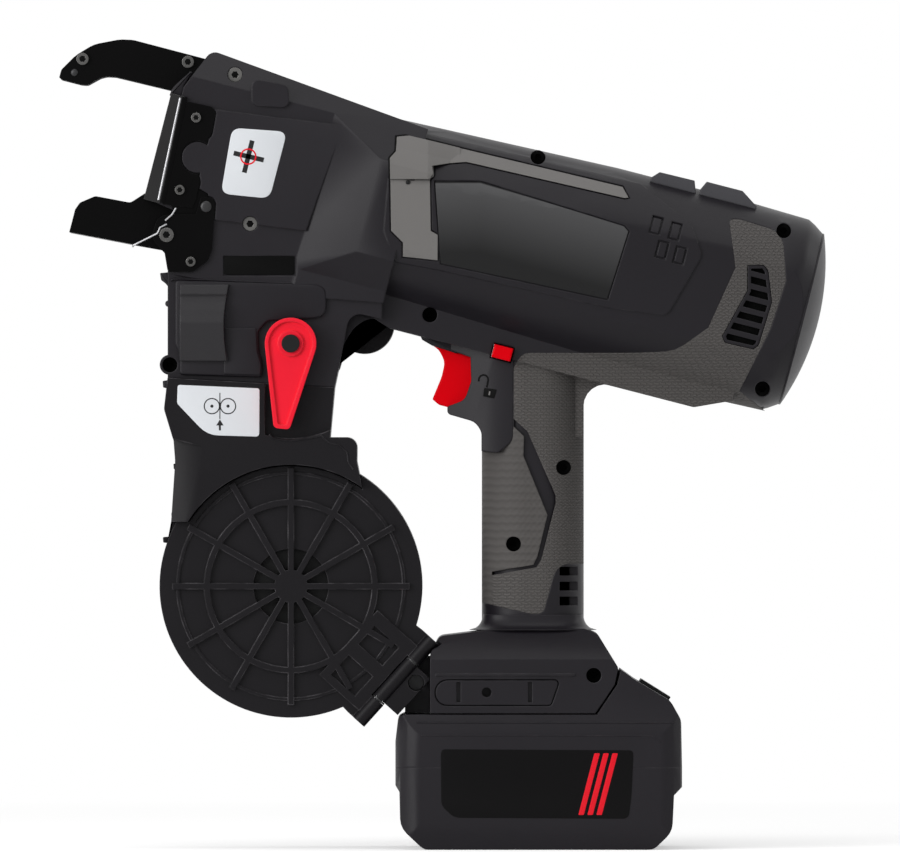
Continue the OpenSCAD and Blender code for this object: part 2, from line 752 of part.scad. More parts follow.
module housing_body() {
  difference() {
    union() {
      housing_forms(0);
      feeder_bump();
      barrel_panels();
      nose_panels();
      foot_lines();
      bar_across(feeder_screw_at, boss_d, -feeder_w / 2, feeder_w / 2);
    }
    difference() {
      housing_forms(wall);
      housing_inside();
    }
    skin_layer();
    rear_turn();
    vent_region(0, -world, world);
    bezel_block(0);
    lock_passage();
    rail_slot();
    jaw_mouth();
    gear_holes();
    screw_holes();
    plate_seat();
    hook_hole();
    hinge_clearance();
    low_panel();
    grip_slots();
  }
}

module left_housing() {
  color(black) left_half() housing_body();
}

module right_housing() {
  color(black) right_half() difference() {
    housing_body();
    bar_across(feed_motor_at, feed_cover_d, feed_cover_y[0], world);
  }
}

module rear_cap() {
  rim = cap_len * 0.1;
  dome_h = cap_len - rim;
  dome_r = (end_r * end_r + dome_h * dome_h) / (2 * dome_h);
  color(black) on_barrel() intersection() {
    translate([barrel_back, 0, 0]) rotate([0, 90, 0]) cylinder(h = 2 * cap_len, r = end_r);
    translate([barrel_back + cap_len - dome_r, 0, 0]) rotate([0, 90, 0]) sphere(r = dome_r, $fn = 2 * $fn);
  }
}

// Wedge-shaped groove in the grip's skin, from the switch down round the front zone
groove_shares = [
  [0.1014, 0.7086], [0.1486, 0.669], [0.2406, 0.476], [0.2406, 0.453], [0.221, 0.382], [0.1937, 0.283],
  [0.1785, 0.26], [0.033, 0.236], [0.033, 0.2464], [0.168, 0.2675], [0.181, 0.2915], [0.214, 0.4175],
  [0.1356, 0.595], [0.1376, 0.654], [0.0972, 0.689]];

module overmould() {
  difference() {
    skin_layer();
    across(-world, world) polygon(outline(groove_shares, skin_len, skin_h, [grip_front, grip_bottom]));
    vent_region(0, -world, world);
    bezel_block(0);
    screw_holes();
  }
}

module left_overmould() {
  color(warm_grey) left_half() overmould();
}

module right_overmould() {
  color(warm_grey) right_half() overmould();
}

module vent_grilles() {
  face = barrel_w / 2;
  pitch = barrel_d / 2 * 0.85 / vent_slats;
  color(black) both_sides() difference() {
    vent_region(seat_gap, -face + seat_gap, -face + wall);
    intersection() {
      vent_region(wall / 2, -face - over, -face + wall + over);
      on_barrel() for (i = [0 : vent_slats - 1])
        translate([0, -2 * face, (i - (vent_slats - 1) / 2) * pitch - pitch * 0.28])
          cube([barrel_back, 2 * face, pitch * 0.56]);
    }
  }
}

trim_h = 1.1;

// A thin inlay on the barrel's surface, inside one outline in the side view
module inlay(shares, high) {
  intersection() {
    on_barrel() across(-world, world) polygon(outline(shares, barrel_front, barrel_d / 2));
    difference() {
      barrel_form(-high);
      barrel_form(0);
      nose_form(0);
    }
  }
}

module side_trims() {
  color(warm_grey) inlay(trim_shares, trim_h);
}

badge_h = 0.6;

module side_badge() {
  color(dark_grey) left_half() inlay(badge_shares, badge_h);
}

bumper_w = barrel_d * 0.34;
front_bumper_shares = [[0.33, 0.8], [0.332, 0.99], [0.357, 1.06], [0.49, 1.065], [0.513, 0.9], [0.513, 0.8]];
rear_bumper_shares = [[0.52, 0.8], [0.52, 1], [0.535, 1.085], [0.672, 1.085], [0.737, 0.97], [0.737, 0.8]];

module top_bumpers() {
  color(dark_grey) difference() {
    on_barrel() for (shares = [front_bumper_shares, rear_bumper_shares])
      across(-bumper_w / 2, bumper_w / 2) polygon(outline(shares, barrel_back, barrel_d / 2));
    barrel_form(0);
  }
}

module housing_screws() {
  color(steel) for (p = housing_screw_places) {
    at = [p[0], p[1]];
    head = p[3] + screw_head_h - p[2];
    difference() {
      bar_across(at, screw_head_d, head - screw_head_h, head);
      bar_across(at, screw_head_d * 0.5, head - screw_head_h - over, head - screw_head_h * 0.4, $fn = 6);
    }
    bar_across(at, screw_d, head, screw_depth);
  }
}

foot_plate_shares = [[0.03, 0.1, 0.14], [0.03, 0.39, 0.14], [0.685, 0.39, 0.04], [0.64, 0.1, 0.04]];

module foot_plate_region(grow, y0, y1) {
  across(y0, y1) inset_by(-grow)
    polygon(outline(foot_plate_shares, foot_len, foot_h, [-foot_front, foot_z]));
}

module foot_plate() {
  face = foot_w / 2;
  slot_h = foot_h * 0.24;
  color(black) difference() {
    foot_plate_region(0, -face, -face + foot_plate_t);
    bar_across(hook_hole_at, hook_hole_d, -face - over, -face + foot_plate_t + over);
    for (share = [0.14, 0.52])
      translate([-foot_front + share * foot_len, -face - over, hook_hole_at[1] - slot_h / 2])
        cube([slot_h * 0.2, foot_plate_t + 2 * over, slot_h]);
  }
}

// Steel pieces of the nose

contact_t = plate_t * 2.2;
contact_low = -nose_top * 0.44;
contact_high = nose_top * 0.535;
plate_front = nose_reach * 0.985;
nose_plate_shares = [
  [-0.983, 0.5, 0.03], [-0.914, 0.51, 0.05], [-0.904, 0.46], [-0.9, 0.27, 0.05], [-0.906, 0.225],
  [-0.906, -0.115], [-0.898, -0.17, 0.03], [-0.896, -0.31], [-0.9, -0.41], [-0.978, -0.44]];
notch_at = [-nose_reach * 0.92, nose_top * 0.04];
notch_r = nose_top * 0.148;
bracket_shares = [
  [-0.885, -0.29, 0.02], [-0.856, -0.275, 0.05], [-0.846, -0.32], [-0.824, -0.72], [-0.827, -0.83, 0.06],
  [-0.858, -0.96, 0.06], [-0.92, -1.015, 0.03], [-0.94, -0.86], [-0.984, -0.76, 0.12], [-0.98, -0.55, 0.1],
  [-0.93, -0.49], [-0.887, -0.45]];
plate_screw_shares = [[-0.949, 0.38], [-0.943, -0.28], [-0.869, -0.875]];
plate_screw_d = 4;

module plate_seat() {
  face = foot_w / 2;
  foot_plate_region(bed_gap, -face - over, -face + foot_plate_t);
}

module contact_plates() {
  inner = mouth_w / 2 + seat_gap;
  outer = nose_w / 2 + plate_t;
  color(dark_grey) on_barrel() both_sides() {
    translate([-nose_reach - contact_t, inner, contact_low])
      cube([contact_t, outer - inner, contact_high - contact_low]);
    translate([-nose_reach - contact_t, nose_w / 2, contact_low])
      cube([nose_reach + contact_t - plate_front, plate_t, contact_high - contact_low]);
  }
}

module nose_plate_outline() {
  difference() {
    polygon(outline(nose_plate_shares, nose_reach, nose_top));
    translate(notch_at) circle(r = notch_r);
  }
}

module nose_side_plates() {
  color(black) on_barrel() both_sides() across(nose_w / 2, nose_w / 2 + plate_t) nose_plate_outline();
}

module jaw_brackets() {
  color(black) on_barrel() both_sides() difference() {
    across(nose_w / 2, nose_w / 2 + plate_t) polygon(outline(bracket_shares, nose_reach, nose_top));
    bar_across(low_pivot, jaw_pin_d, 0, nose_w);
  }
}

// Round head with a hexagon socket, on a face that looks toward +Y
module socket_head(at, d, face, high) {
  difference() {
    bar_across(at, d, face, face + high);
    bar_across(at, d * 0.55, face + high * 0.4, face + high + over, $fn = 6);
  }
}

module plate_screws() {
  face = nose_w / 2 + plate_t;
  color(steel) on_barrel() both_sides() for (s = plate_screw_shares)
    socket_head([s[0] * nose_reach, s[1] * nose_top], plate_screw_d, face, plate_t * 0.8);
}

jaw_shares = [
  [0, 0.03], [0, 0.17, 0.1], [0.05, 0.48, 0.4], [0.122, 0.75, 0.5], [0.238, 0.95, 0.4], [0.3, 1, 0.3],
  [1, 0.99], [1, 0.33], [0.263, 0.285, 0.2], [0.222, 0.255, 0.15], [0.194, 0.2, 0.15], [0.142, 0.02, 0.1],
  [0.11, 0], [0.013, 0]];
jaw_guide_shares = [
  [0.06, 0.3], [0.09, 0.55], [0.16, 0.78], [0.25, 0.9], [0.32, 0.93], [0.9, 0.93], [0.9, 0.45], [0.34, 0.42],
  [0.24, 0.38], [0.17, 0.28], [0.13, 0.2]];
jaw_screw_shares = [[0.087, 0.45], [0.584, 0.865]];
jaw_screw_d = 5;

function jaw_at() = [-nose_reach - jaw_reach, jaw_base_v];

// Holes for the jaw's own screws and for the housing screw that holds its tail
module jaw_holes() {
  for (s = jaw_screw_shares)
    bar_across(jaw_at() + [s[0] * jaw_len, s[1] * jaw_h], jaw_screw_d * 0.6, -jaw_w, jaw_w);
  bar_across([nose_screw_shares[0][0] * nose_reach, nose_screw_shares[0][1] * nose_top],
    screw_d + 2 * seat_gap, -jaw_w, jaw_w);
}

module upper_jaw_plates() {
  color(black) on_barrel() difference() {
    both_sides() across(jaw_gap / 2, jaw_gap / 2 + jaw_plate)
      polygon(outline(jaw_shares, jaw_len, jaw_h, jaw_at()));
    jaw_holes();
  }
}

module upper_jaw_guide() {
  color(steel) on_barrel() difference() {
    across(-jaw_gap / 2, jaw_gap / 2) polygon(outline(jaw_guide_shares, jaw_len, jaw_h, jaw_at()));
    jaw_holes();
  }
}

module jaw_screws() {
  face = jaw_w / 2;
  color(steel) on_barrel() for (s = jaw_screw_shares) {
    at = jaw_at() + [s[0] * jaw_len, s[1] * jaw_h];
    bar_across(at, jaw_screw_d * 0.6, -face, face);
    both_sides() socket_head(at, jaw_screw_d, face, jaw_plate * 0.6);
  }
}

// Lower jaw: two side plates and a floor, drawn from its pivot
low_jaw_shares = [
  [-1, -0.36], [-1, 0.03], [-0.97, 0.16, 0.1], [-0.83, 0.33, 0.1], [-0.455, 0.37, 0.1], [-0.315, 0.61],
  [0.06, 0.66, 0.1], [0.16, 0], [0.12, -0.24, 0.1], [-0.3, -0.29]];
low_jaw_t = 2.5;
low_floor_shares = [[-1, -0.36], [-1, -0.2], [-0.3, -0.13], [-0.3, -0.29]];
spring_turns = 4;

module lower_jaw() {
  half = low_jaw_w / 2;
  boss = nose_w / 2 - run_gap;
  color(black) on_barrel() translate([low_pivot[0], 0, low_pivot[1]]) difference() {
    union() {
      both_sides() across(half - low_jaw_t, half)
        polygon(outline(low_jaw_shares, low_jaw_reach, low_jaw_h));
      across(-half, half) polygon(outline(low_floor_shares, low_jaw_reach, low_jaw_h));
      both_sides() bar_across([0, 0], low_boss_d, half - low_jaw_t, boss);
    }
    bar_across([0, 0], jaw_pin_d + 2 * shaft_gap, -nose_w, nose_w);
  }
}

module lower_jaw_pin() {
  face = nose_w / 2 + plate_t;
  color(steel) on_barrel() {
    bar_across(low_pivot, jaw_pin_d, -face, face);
    both_sides() socket_head(low_pivot, jaw_pin_d * 0.9, face, plate_t * 0.8);
  }
}

// A round wire swept along points, as rings of sides joined by triangles

ring_sides = 6;
rings_a_turn = 8;

// Unit vectors square to a run: one lies as near to the tool's width as it can
function square_pair(run) =
  let (side = unit(cross(run, abs(run[1]) > 0.8 * norm(run) ? [1, 0, 0] : [0, 1, 0])),
     other = unit(cross(run, side)))
  [side, other];

function run_at(points, i) =
  unit(points[min(i + 1, len(points) - 1)] - points[max(i - 1, 0)]);

module wire_along(points, d) {
  n = len(points);
  vertices = [for (i = [0 : n - 1]) let (pair = square_pair(run_at(points, i)))
    for (k = [0 : ring_sides - 1])
      points[i] + d / 2 * (cos(360 * k / ring_sides) * pair[0] + sin(360 * k / ring_sides) * pair[1])];
  walls = [for (i = [0 : n - 2]) for (k = [0 : ring_sides - 1])
    let (a = i * ring_sides + k, b = i * ring_sides + (k + 1) % ring_sides)
    each [[a, b, b + ring_sides], [a, b + ring_sides, a + ring_sides]]];
  first = [for (k = [1 : ring_sides - 2]) [0, k + 1, k]];
  last = [for (k = [1 : ring_sides - 2]) let (z = (n - 1) * ring_sides) [z, z + k, z + k + 1]];
  polyhedron(vertices, concat(first, walls, last));
}

spring_r = jaw_pin_d * 0.5 + spring_wire * 0.5 + run_gap;
spring_pitch = spring_wire * 1.4;
spring_leg = low_jaw_reach * 0.27;

// The spring's wire: a leg along the lower jaw, the turns round the pin, a leg up into the nose
function spring_points() =
  let (turns = [for (i = [0 : spring_turns * rings_a_turn])
       let (a = 360 * i / rings_a_turn)
       [spring_r * sin(a), spring_pitch * i / rings_a_turn, -spring_r * cos(a)]],
     n = len(turns))
  concat([[-spring_leg, 0, -spring_r]], turns, [[spring_leg * 0.9, turns[n - 1][1], -spring_r]]);

// Least gap of a wire to itself, between points that lie at least so many steps apart
function least_gap(points, steps, d) =
  min([for (i = [0 : len(points) - steps - 1]) for (j = [i + steps : len(points) - 1])
    norm(points[i] - points[j])]) - d;

module jaw_spring() {
  echo(jaw_spring_least_gap = least_gap(spring_points(), rings_a_turn / 2, spring_wire));
  color(steel) on_barrel()
    translate([low_pivot[0], -low_jaw_w / 2 + low_jaw_t + spring_wire, low_pivot[1]])
      wire_along(spring_points(), spring_wire);
}

wire_guide_w = feeder_w - 2 * wall - 2 * seat_gap;

module wire_guide() {
  low = gear_z + gear_pitch_d * 0.62;
  depth = gear_pitch_d * 0.3;
  color(steel) translate([gear_centre_x - depth / 2, -wire_guide_w / 2, low]) difference() {
    cube([depth, wire_guide_w, feeder_rise * 0.2]);
    translate([depth * 0.35, wire_guide_w * 0.45, -over])
      cube([depth * 0.3, wire_guide_w * 0.1, feeder_rise * 0.2 + 2 * over]);
  }
}

// Feeder pieces

lever_tip_w = lever_r * 0.62;
lever_lean = 6;
lever_face = -feeder_w / 2 - bump_h * 2.4;

// Teardrop of the lever: a round head whose sides run straight down to the tip
function teardrop(r, tip_w, length) =
  let (slope = asin((r - tip_w / 2) / length),
     steps = 20,
     head = [for (i = [0 : steps]) let (a = -slope + (180 + 2 * slope) * i / steps) r * [cos(a), sin(a)]],
     tip = rounded([head[steps], [-tip_w / 2, -length, tip_w * 0.3],
       [tip_w / 2, -length, tip_w * 0.3], head[0]]))
  concat(head, [for (i = [1 : len(tip) - 2]) tip[i]]);

module release_lever() {
  back = -feeder_w / 2 - run_gap;
  arm_back = lever_face + lever_r * 0.4;
  rim = lever_r * 0.15;
  sink = bump_h * 0.25;
  color(red) {
    translate([lever_at[0], 0, lever_at[1]]) rotate([0, lever_lean, 0]) difference() {
      across(lever_face, arm_back) polygon(teardrop(lever_r, lever_tip_w, lever_len));
      across(lever_face - over, lever_face + sink) difference() {
        polygon(teardrop(lever_r - rim, lever_tip_w - 2 * rim, lever_len - rim));
        circle(d = lever_r);
      }
    }
    bar_across(lever_at, 1.7 * lever_r, arm_back - sink, back);
    bar_across(lever_at, lever_pin_d, arm_back, -boss_reach * 0.55);
  }
}

module lever_cap() {
  color(dark_grey) bar_across(lever_at, lever_r * 0.7, lever_face - bump_h * 0.3, lever_face);
}

// A spur gear's outline: four points a tooth
function gear_points(pitch_d, teeth, phase) =
  let (step = 360 / teeth, tip = pitch_d / 2 * 1.07, root = pitch_d / 2 * 0.9)
  [for (i = [0 : teeth - 1]) for (c = [[-0.3, root], [-0.12, tip], [0.12, tip], [0.3, root]])
    let (a = (i + phase + c[0]) * step) c[1] * [cos(a), sin(a)]];

module feed_gear(at, phase, y0, y1) {
  translate([at[0], 0, at[1]]) across(-gear_w / 2, gear_w / 2)
    polygon(gear_points(gear_pitch_d, gear_teeth, phase));
  bar_across(at, gear_shaft_d, y0, y1);
}

module drive_gear() {
  color(steel) feed_gear(drive_at, 0.5 * (gear_teeth + 1), -boss_reach, gear_w);
}

module idler_gear() {
  color(steel) feed_gear(idler_at, 0, -boss_reach, boss_reach);
}

module feed_motor() {
  color(steel)
    bar_across(feed_motor_at, feed_motor_d, feed_cover_y[0] + cover_wall, feed_cover_y[1] - cover_wall);
}

module feed_reduction() {
  x0 = drive_at[0] - gear_shaft_d;
  x1 = feed_motor_at[0] - feed_cover_d / 2 - run_gap;
  depth = feeder_w / 2 - wall - seat_gap - gear_w * 0.75;
  color(dark_grey) difference() {
    translate([x0, gear_w * 0.75, gear_z - gear_shaft_d * 1.2]) cube([x1 - x0, depth, gear_shaft_d * 2.4]);
    bar_across(drive_at, gear_shaft_d + 2 * shaft_gap, 0, gear_w + run_gap);
  }
}

module feed_motor_cover() {
  color(black) difference() {
    bar_across(feed_motor_at, feed_cover_d, feed_cover_y[0], feed_cover_y[1]);
    bar_across(feed_motor_at, feed_motor_d + 2 * seat_gap,
      feed_cover_y[0] + cover_wall, feed_cover_y[1] - cover_wall);
  }
}

// Magazine

case_front = -case_w / 2 + case_wall * 0.8;
case_back = case_w / 2 + case_wall * 0.8;
cover_face = -feeder_w / 2 - bump_h * 1.2;
door_arc_r = case_r * 0.915;
neck_rise = feeder_z - reel_z;
neck_left_shares = [[0, 1], [-0.02, 0.85, 0.05], [0.033, 0.7, 0.05], [0.042, 0.6, 0.1], [0.02, 0.31]];
neck_right_shares = [[1.13, 0.3], [1.06, 0.6, 0.03], [1.062, 0.715, 0.05], [0.91, 0.715], [0.935, 0.955]];

// The magazine's neck from the feeder down to the reel
function neck_points() =
  outline(concat(neck_left_shares, neck_right_shares), feeder_len, neck_rise, [-feeder_front, reel_z]);

module neck_outline() {
  difference() {
    polygon(neck_points());
    polygon(feeder_points());
  }
}

module reel_circle(r) {
  translate([reel_x, reel_z]) circle(r = r);
}

module reel_case() {
  inner_front = case_front - over;
  inner_back = case_back - case_wall;
  color(black) difference() {
    across(case_front, case_back) {
      reel_circle(case_r);
      neck_outline();
    }
    across(inner_front, inner_back) {
      reel_circle(case_r - case_wall);
      offset(delta = -case_wall) neck_outline();
    }
    bar_across([reel_x, reel_z], spindle_d * 0.6, 0, case_back + over);
  }
}

lever_recess_r = lever_len * 1.11;
lever_recess_left = lever_at[0] - lever_r;
facet_lean = 20;
facet_at = [-feeder_front + feeder_len * 0.2, cover_face, reel_z + neck_rise * 0.67];

module magazine_cover() {
  floor_y = -feeder_w / 2 - run_gap;
  color(black) difference() {
    across(cover_face, case_front) difference() {
      neck_outline();
      reel_circle(door_arc_r + run_gap);
    }
    intersection() {
      bar_across(lever_at, 2 * lever_recess_r, cover_face - over, floor_y);
      translate([lever_recess_left, cover_face - over, 0]) cube([feeder_len, world, world]);
    }
    translate(facet_at) rotate([0, tilt, 0]) rotate([0, 0, -facet_lean])
      translate([-feeder_len, -case_w, -neck_rise]) cube([feeder_len, case_w, neck_rise]);
  }
}

// The door's frame and hinge lie square to this direction, in degrees below the level
hinge_lean = 42;
frame_shares = [[0.4, 0.9], [0.9, 1], [0.985, 1]];
door_front = case_front - door_t - seat_gap;
door_back = case_front - seat_gap;
hinge_y = door_back - knuckle_d / 2;
knuckle_share = 0.27;
hub_r = case_r * 0.125;
window_r = case_r * 0.285;
ring_r = case_r * 0.66;
rib_end_r = case_r * 0.9;
outer_ring_r = case_r * 0.87;
hinge_block_shares = [[0.57, -0.42], [0.95, -0.42], [0.95, 0.36], [0.57, 0.36]];
hinge_pocket_shares = [
  [[0.63, 0.02], [0.86, 0.02], [0.86, 0.24], [0.63, 0.24]],
  [[0.63, -0.35], [0.86, -0.35], [0.86, -0.11], [0.63, -0.11]]];

module toward_hinge() {
  translate([reel_x, 0, reel_z]) rotate([0, hinge_lean, 0]) children();
}

module hinge_bar(d, q0, q1) {
  translate([hinge_r, hinge_y, q0]) cylinder(d = d, h = q1 - q0);
}

module door_frame() {
  points = [for (s = frame_shares) [s[0] * hinge_r, s[1] * hinge_len / 2]];
  polygon(mirrored(points));
}

module reel_door() {
  q = hinge_len / 2;
  knuckle = knuckle_share * hinge_len;
  rib_front = door_front - rib_h;
  color(black) difference() {
    union() {
      difference() {
        across(door_front, door_back) difference() {
          reel_circle(case_r);
          difference() {
            neck_outline();
            reel_circle(door_arc_r);
          }
        }
        bar_across([reel_x, reel_z], 2 * window_r, -world, world);
      }
      toward_hinge() across(door_front, door_back) difference() {
        door_frame();
        circle(r = window_r + rib_w);
      }
      toward_hinge() across(rib_front, door_front) difference() {
        polygon(outline(hinge_block_shares, hinge_r, hinge_len));
        for (shares = hinge_pocket_shares)
          polygon(outline(shares, hinge_r, hinge_len));
      }
      across(door_front - rib_h * 0.4, door_back) difference() {
        reel_circle(outer_ring_r);
        reel_circle(outer_ring_r - rib_w * 0.5);
      }
      across(rib_front, door_back) {
        reel_circle(hub_r);
        for (i = [0 : rib_count - 1])
          translate([reel_x, reel_z]) rotate(90 + 360 / rib_count * i)
            translate([0, -rib_w / 2]) square([rib_end_r, rib_w]);
        difference() {
          reel_circle(ring_r);
          reel_circle(ring_r - rib_w);
        }
      }
      toward_hinge() for (side = [-1, 1])
        hinge_bar(knuckle_d, side < 0 ? -q : q - knuckle, side < 0 ? knuckle - q : q);
    }
    toward_hinge() {
      hinge_bar(hinge_pin_d + 2 * shaft_gap, -hinge_len, hinge_len);
      hinge_bar(knuckle_d + 2 * run_gap, knuckle - q - run_gap, q - knuckle + run_gap);
    }
  }
}

module door_hinge_pin() {
  color(steel) toward_hinge() hinge_bar(hinge_pin_d, -hinge_len / 2, hinge_len / 2);
}

// Bracket from the hinge's middle knuckle to the front face of the foot
bracket_back = case_w * 0.36;
bracket_screw_at = [-foot_front - knuckle_d * 0.9, foot_z + foot_h * 0.36];
bracket_screw_y = hinge_y + knuckle_d + screw_head_h * 2;

// Room in the foot's front corner for the end of the door's hinge
module hinge_clearance() {
  q = hinge_len / 2 + 2 * run_gap;
  toward_hinge() hinge_bar(knuckle_d + 4 * run_gap, -q, q);
}

module hinge_bracket() {
  q = hinge_len / 2 * (1 - 2 * knuckle_share) - run_gap;
  low = foot_z;
  high = foot_z + foot_h * 0.66;
  color(black) difference() {
    union() {
      toward_hinge() hinge_bar(knuckle_d, -q, q);
      toward_hinge() translate([hinge_r, hinge_y - knuckle_d * 0.2, -q])
        cube([knuckle_d * 1.6, bracket_back - hinge_y, 2 * q]);
      translate([-foot_front - seat_gap - knuckle_d * 1.6, hinge_y + knuckle_d, low])
        cube([knuckle_d * 1.6, bracket_back - hinge_y, high - low]);
    }
    toward_hinge() hinge_bar(hinge_pin_d, -hinge_len, hinge_len);
    bar_across([reel_x, reel_z], 2 * (case_r + run_gap), -world, world);
    bar_across(bracket_screw_at, knuckle_d + 2 * seat_gap, -world, bracket_screw_y);
    bar_across(bracket_screw_at, screw_d + 2 * seat_gap, bracket_screw_y - over, world);
    translate([-foot_front - seat_gap, -world / 2, 0]) cube(world);
  }
}

module bracket_screw() {
  color(steel) {
    bar_across(bracket_screw_at, knuckle_d, bracket_screw_y - screw_head_h, bracket_screw_y);
    bar_across(bracket_screw_at, screw_d, bracket_screw_y, bracket_back);
  }
}

reel_w = case_w - 2.5 * case_wall;
reel_front = case_front + run_gap;
flange_t = case_wall * 0.8;
reel_hub_d = reel_d * 0.5;
reel_sleeve_d = spindle_d + 4 * flange_t;
coil_d = reel_d * 0.66;

module reel() {
  y1 = reel_front + reel_w;
  color(dark_grey) difference() {
    union() {
      bar_across([reel_x, reel_z], reel_d, reel_front, reel_front + flange_t);
      bar_across([reel_x, reel_z], reel_hub_d, reel_front, y1);
      bar_across([reel_x, reel_z], reel_d, y1 - flange_t, y1);
    }
    difference() {
      bar_across([reel_x, reel_z], reel_hub_d - 2 * flange_t, reel_front + flange_t, y1 + over);
      bar_across([reel_x, reel_z], reel_sleeve_d, reel_front, y1 + 2 * over);
    }
    bar_across([reel_x, reel_z], spindle_d + 2 * shaft_gap, reel_front - over, y1 + 3 * over);
  }
}

module wire_coil() {
  y1 = reel_front + reel_w - flange_t - seat_gap;
  color(steel) difference() {
    bar_across([reel_x, reel_z], coil_d, reel_front + flange_t + seat_gap, y1);
    bar_across([reel_x, reel_z], reel_hub_d + 2 * seat_gap, reel_front, y1 + over);
  }
}

module reel_spindle() {
  color(black) {
    bar_across([reel_x, reel_z], spindle_d, reel_front, case_back - case_wall);
    bar_across([reel_x, reel_z], spindle_d * 0.6, case_back - case_wall, case_back);
  }
}

// Trigger and switch

trigger_shares = [
  [0, 1], [0.2, 0.9, 0.2], [0.345, 0.71, 0.25], [0.26, 0.46, 0.4], [0.04, 0.1, 0.03], [0.2, 0.01, 0.1],
  [0.45, -0.035, 0.15], [0.8, 0, 0.1], [1, 0.22, 0.1], [1.02, 0.32], [1.5, 0.32], [1.5, 0.7], [1.02, 0.78]];

module trigger() {
  half = trigger_w / 2;
  color(red) across(-half, half)
    polygon(outline(trigger_shares, trigger_depth, trigger_h, [trigger_front, trigger_low]));
}

switch_front = trigger_front + trigger_depth * 1.5 + trigger_travel + run_gap;

module switch_bezel() {
  color(black) difference() {
    bezel_block(0);
    translate([trigger_front - over, -trigger_slot_w / 2, trigger_low - trigger_h * 0.22])
      cube([2 * bezel_len, trigger_slot_w, trigger_h * 1.6]);
    lock_passage();
  }
}

module trigger_switch() {
  depth = grip_rear - switch_front - wall - skin - 2 * seat_gap;
  width = trigger_slot_w - 2 * seat_gap;
  color(dark_grey) translate([switch_front, -width / 2, trigger_low])
    cube([depth, width, trigger_h * 0.6]);
}

module lock_button() {
  color(red) translate([lock_at[0], 0, lock_at[1]]) rotate([0, tilt, 0])
    translate([-lock_w / 2, -lock_half - lock_travel, -lock_h / 2])
      cube([lock_w, 2 * lock_half + lock_travel, lock_h]);
}

board_z = slot_z + 2 * wall;

module control_board() {
  color([0.1, 0.35, 0.2]) translate([-foot_front * 0.7, -foot_w * 0.3, board_z - wall])
    cube([foot_len * 0.6, foot_w * 0.6, wall * 0.6]);
}

blade_count = 3;

module terminal_block() {
  width = rail_neck_w * 0.8;
  length = slot_front - rail_front - run_gap;
  low = battery_h + rail_neck_h;
  color(dark_grey) {
    translate([-slot_front, -width / 2, low]) cube([length, width, slot_z - low]);
    for (i = [0 : blade_count - 1])
      translate([-slot_front, (i / (blade_count - 1) - 0.5) * width * 0.7, low + wall * 0.4])
        cube([length * 2.6, wall * 0.3, rail_h * 0.3]);
  }
}

// Battery pack

seam_z = battery_h * 0.61;
lower_case_shares = [
  [-0.402, 0, 0.15], [0.392, 0, 0.15], [0.456, 0.22, 0.25], [0.462, 0.66], [0.49, 0.76], [0.49, 1], [-0.5, 1],
  [-0.5, 0.78], [-0.486, 0.7], [-0.483, 0.27, 0.25]];
upper_front_shares = [[-0.5, 0.61], [-0.5, 0.8, 0.06], [-0.49, 0.98, 0.05], [-0.47, 1]];
upper_rear_shares = [[-0.76, 1.26], [-0.217, 1.1, 0.1], [-0.057, 0.96, 0.1], [-0.0435, 0.61]];
hump_edge_shares = [foot_shares[8], foot_shares[7], [foot_shares[6][0], foot_shares[6][1] * 0.96]];
hump_gap = 2 * run_gap;

// The hump behind the foot keeps one gap to the foot's slanted rear edge
function upper_case_points() =
  rounded(concat(
    placed(upper_front_shares, battery_len, battery_h, [battery_mid, 0]),
    [[foot_shares[8][0] * foot_len - foot_front + hump_gap, battery_h]],
    [for (s = hump_edge_shares) [s[0] * foot_len - foot_front + hump_gap, foot_z + s[1] * foot_h]],
    placed(upper_rear_shares, hump_len, battery_h, [battery_back, 0])));

pack_section_shares = [
  [0.92, 0], [0.975, 0.1], [1, 0.2], [1, 0.85], [0.95, 0.94], [0.9, 1], [0.88, 1.4]];
pack_corner_r = battery_w * 0.16;

module pack_section() {
  polygon(mirrored_across([for (s = pack_section_shares) [s[0] * battery_w / 2, s[1] * battery_h]]));
}

// The pack seen from above
module pack_plan() {
  half = battery_w / 2 + seat_gap;
  front = -battery_front - seat_gap;
  back = battery_back + seat_gap;
  corners = [[front, -half], [back, -half], [back, half], [front, half]];
  polygon(rounded([for (p = corners) [p[0], p[1], pack_corner_r]]));
}

module pack_form(points, inset) {
  intersection() {
    across(-battery_w, battery_w) inset_by(inset) polygon(points);
    along(-battery_len, battery_len) inset_by(inset) pack_section();
    translate([0, 0, -over]) linear_extrude(2 * battery_h) inset_by(inset) pack_plan();
  }
}

// Opening between the two cases, inside their walls
module pack_opening(z0, z1) {
  length = battery_len - 8 * battery_wall;
  width = battery_w - 4 * battery_wall;
  translate([3 * battery_wall - battery_front, -width / 2, z0]) cube([length, width, z1 - z0]);
}

module battery_lower_case() {
  points = outline(lower_case_shares, battery_len, seam_z, [battery_mid, 0]);
  color(black) difference() {
    pack_form(points, 0);
    pack_form(points, battery_wall);
    pack_opening(seam_z - 2 * battery_wall, seam_z + over);
  }
}

button_len = hump_len * 0.52;
button_at = [battery_back - hump_len * 0.48, battery_h * 1.15];
button_w = battery_w * 0.4;
button_h = battery_h * 0.24;
button_lean = 32;
button_travel = 3;

module button_block(grow, room) {
  height = button_h + room;
  translate([button_at[0], 0, button_at[1]]) rotate([0, button_lean, 0])
    translate([0, 0, -button_h * 0.3 - room / 2])
      cube([button_len + 2 * grow, button_w + 2 * grow, height + 2 * grow], center = true);
}

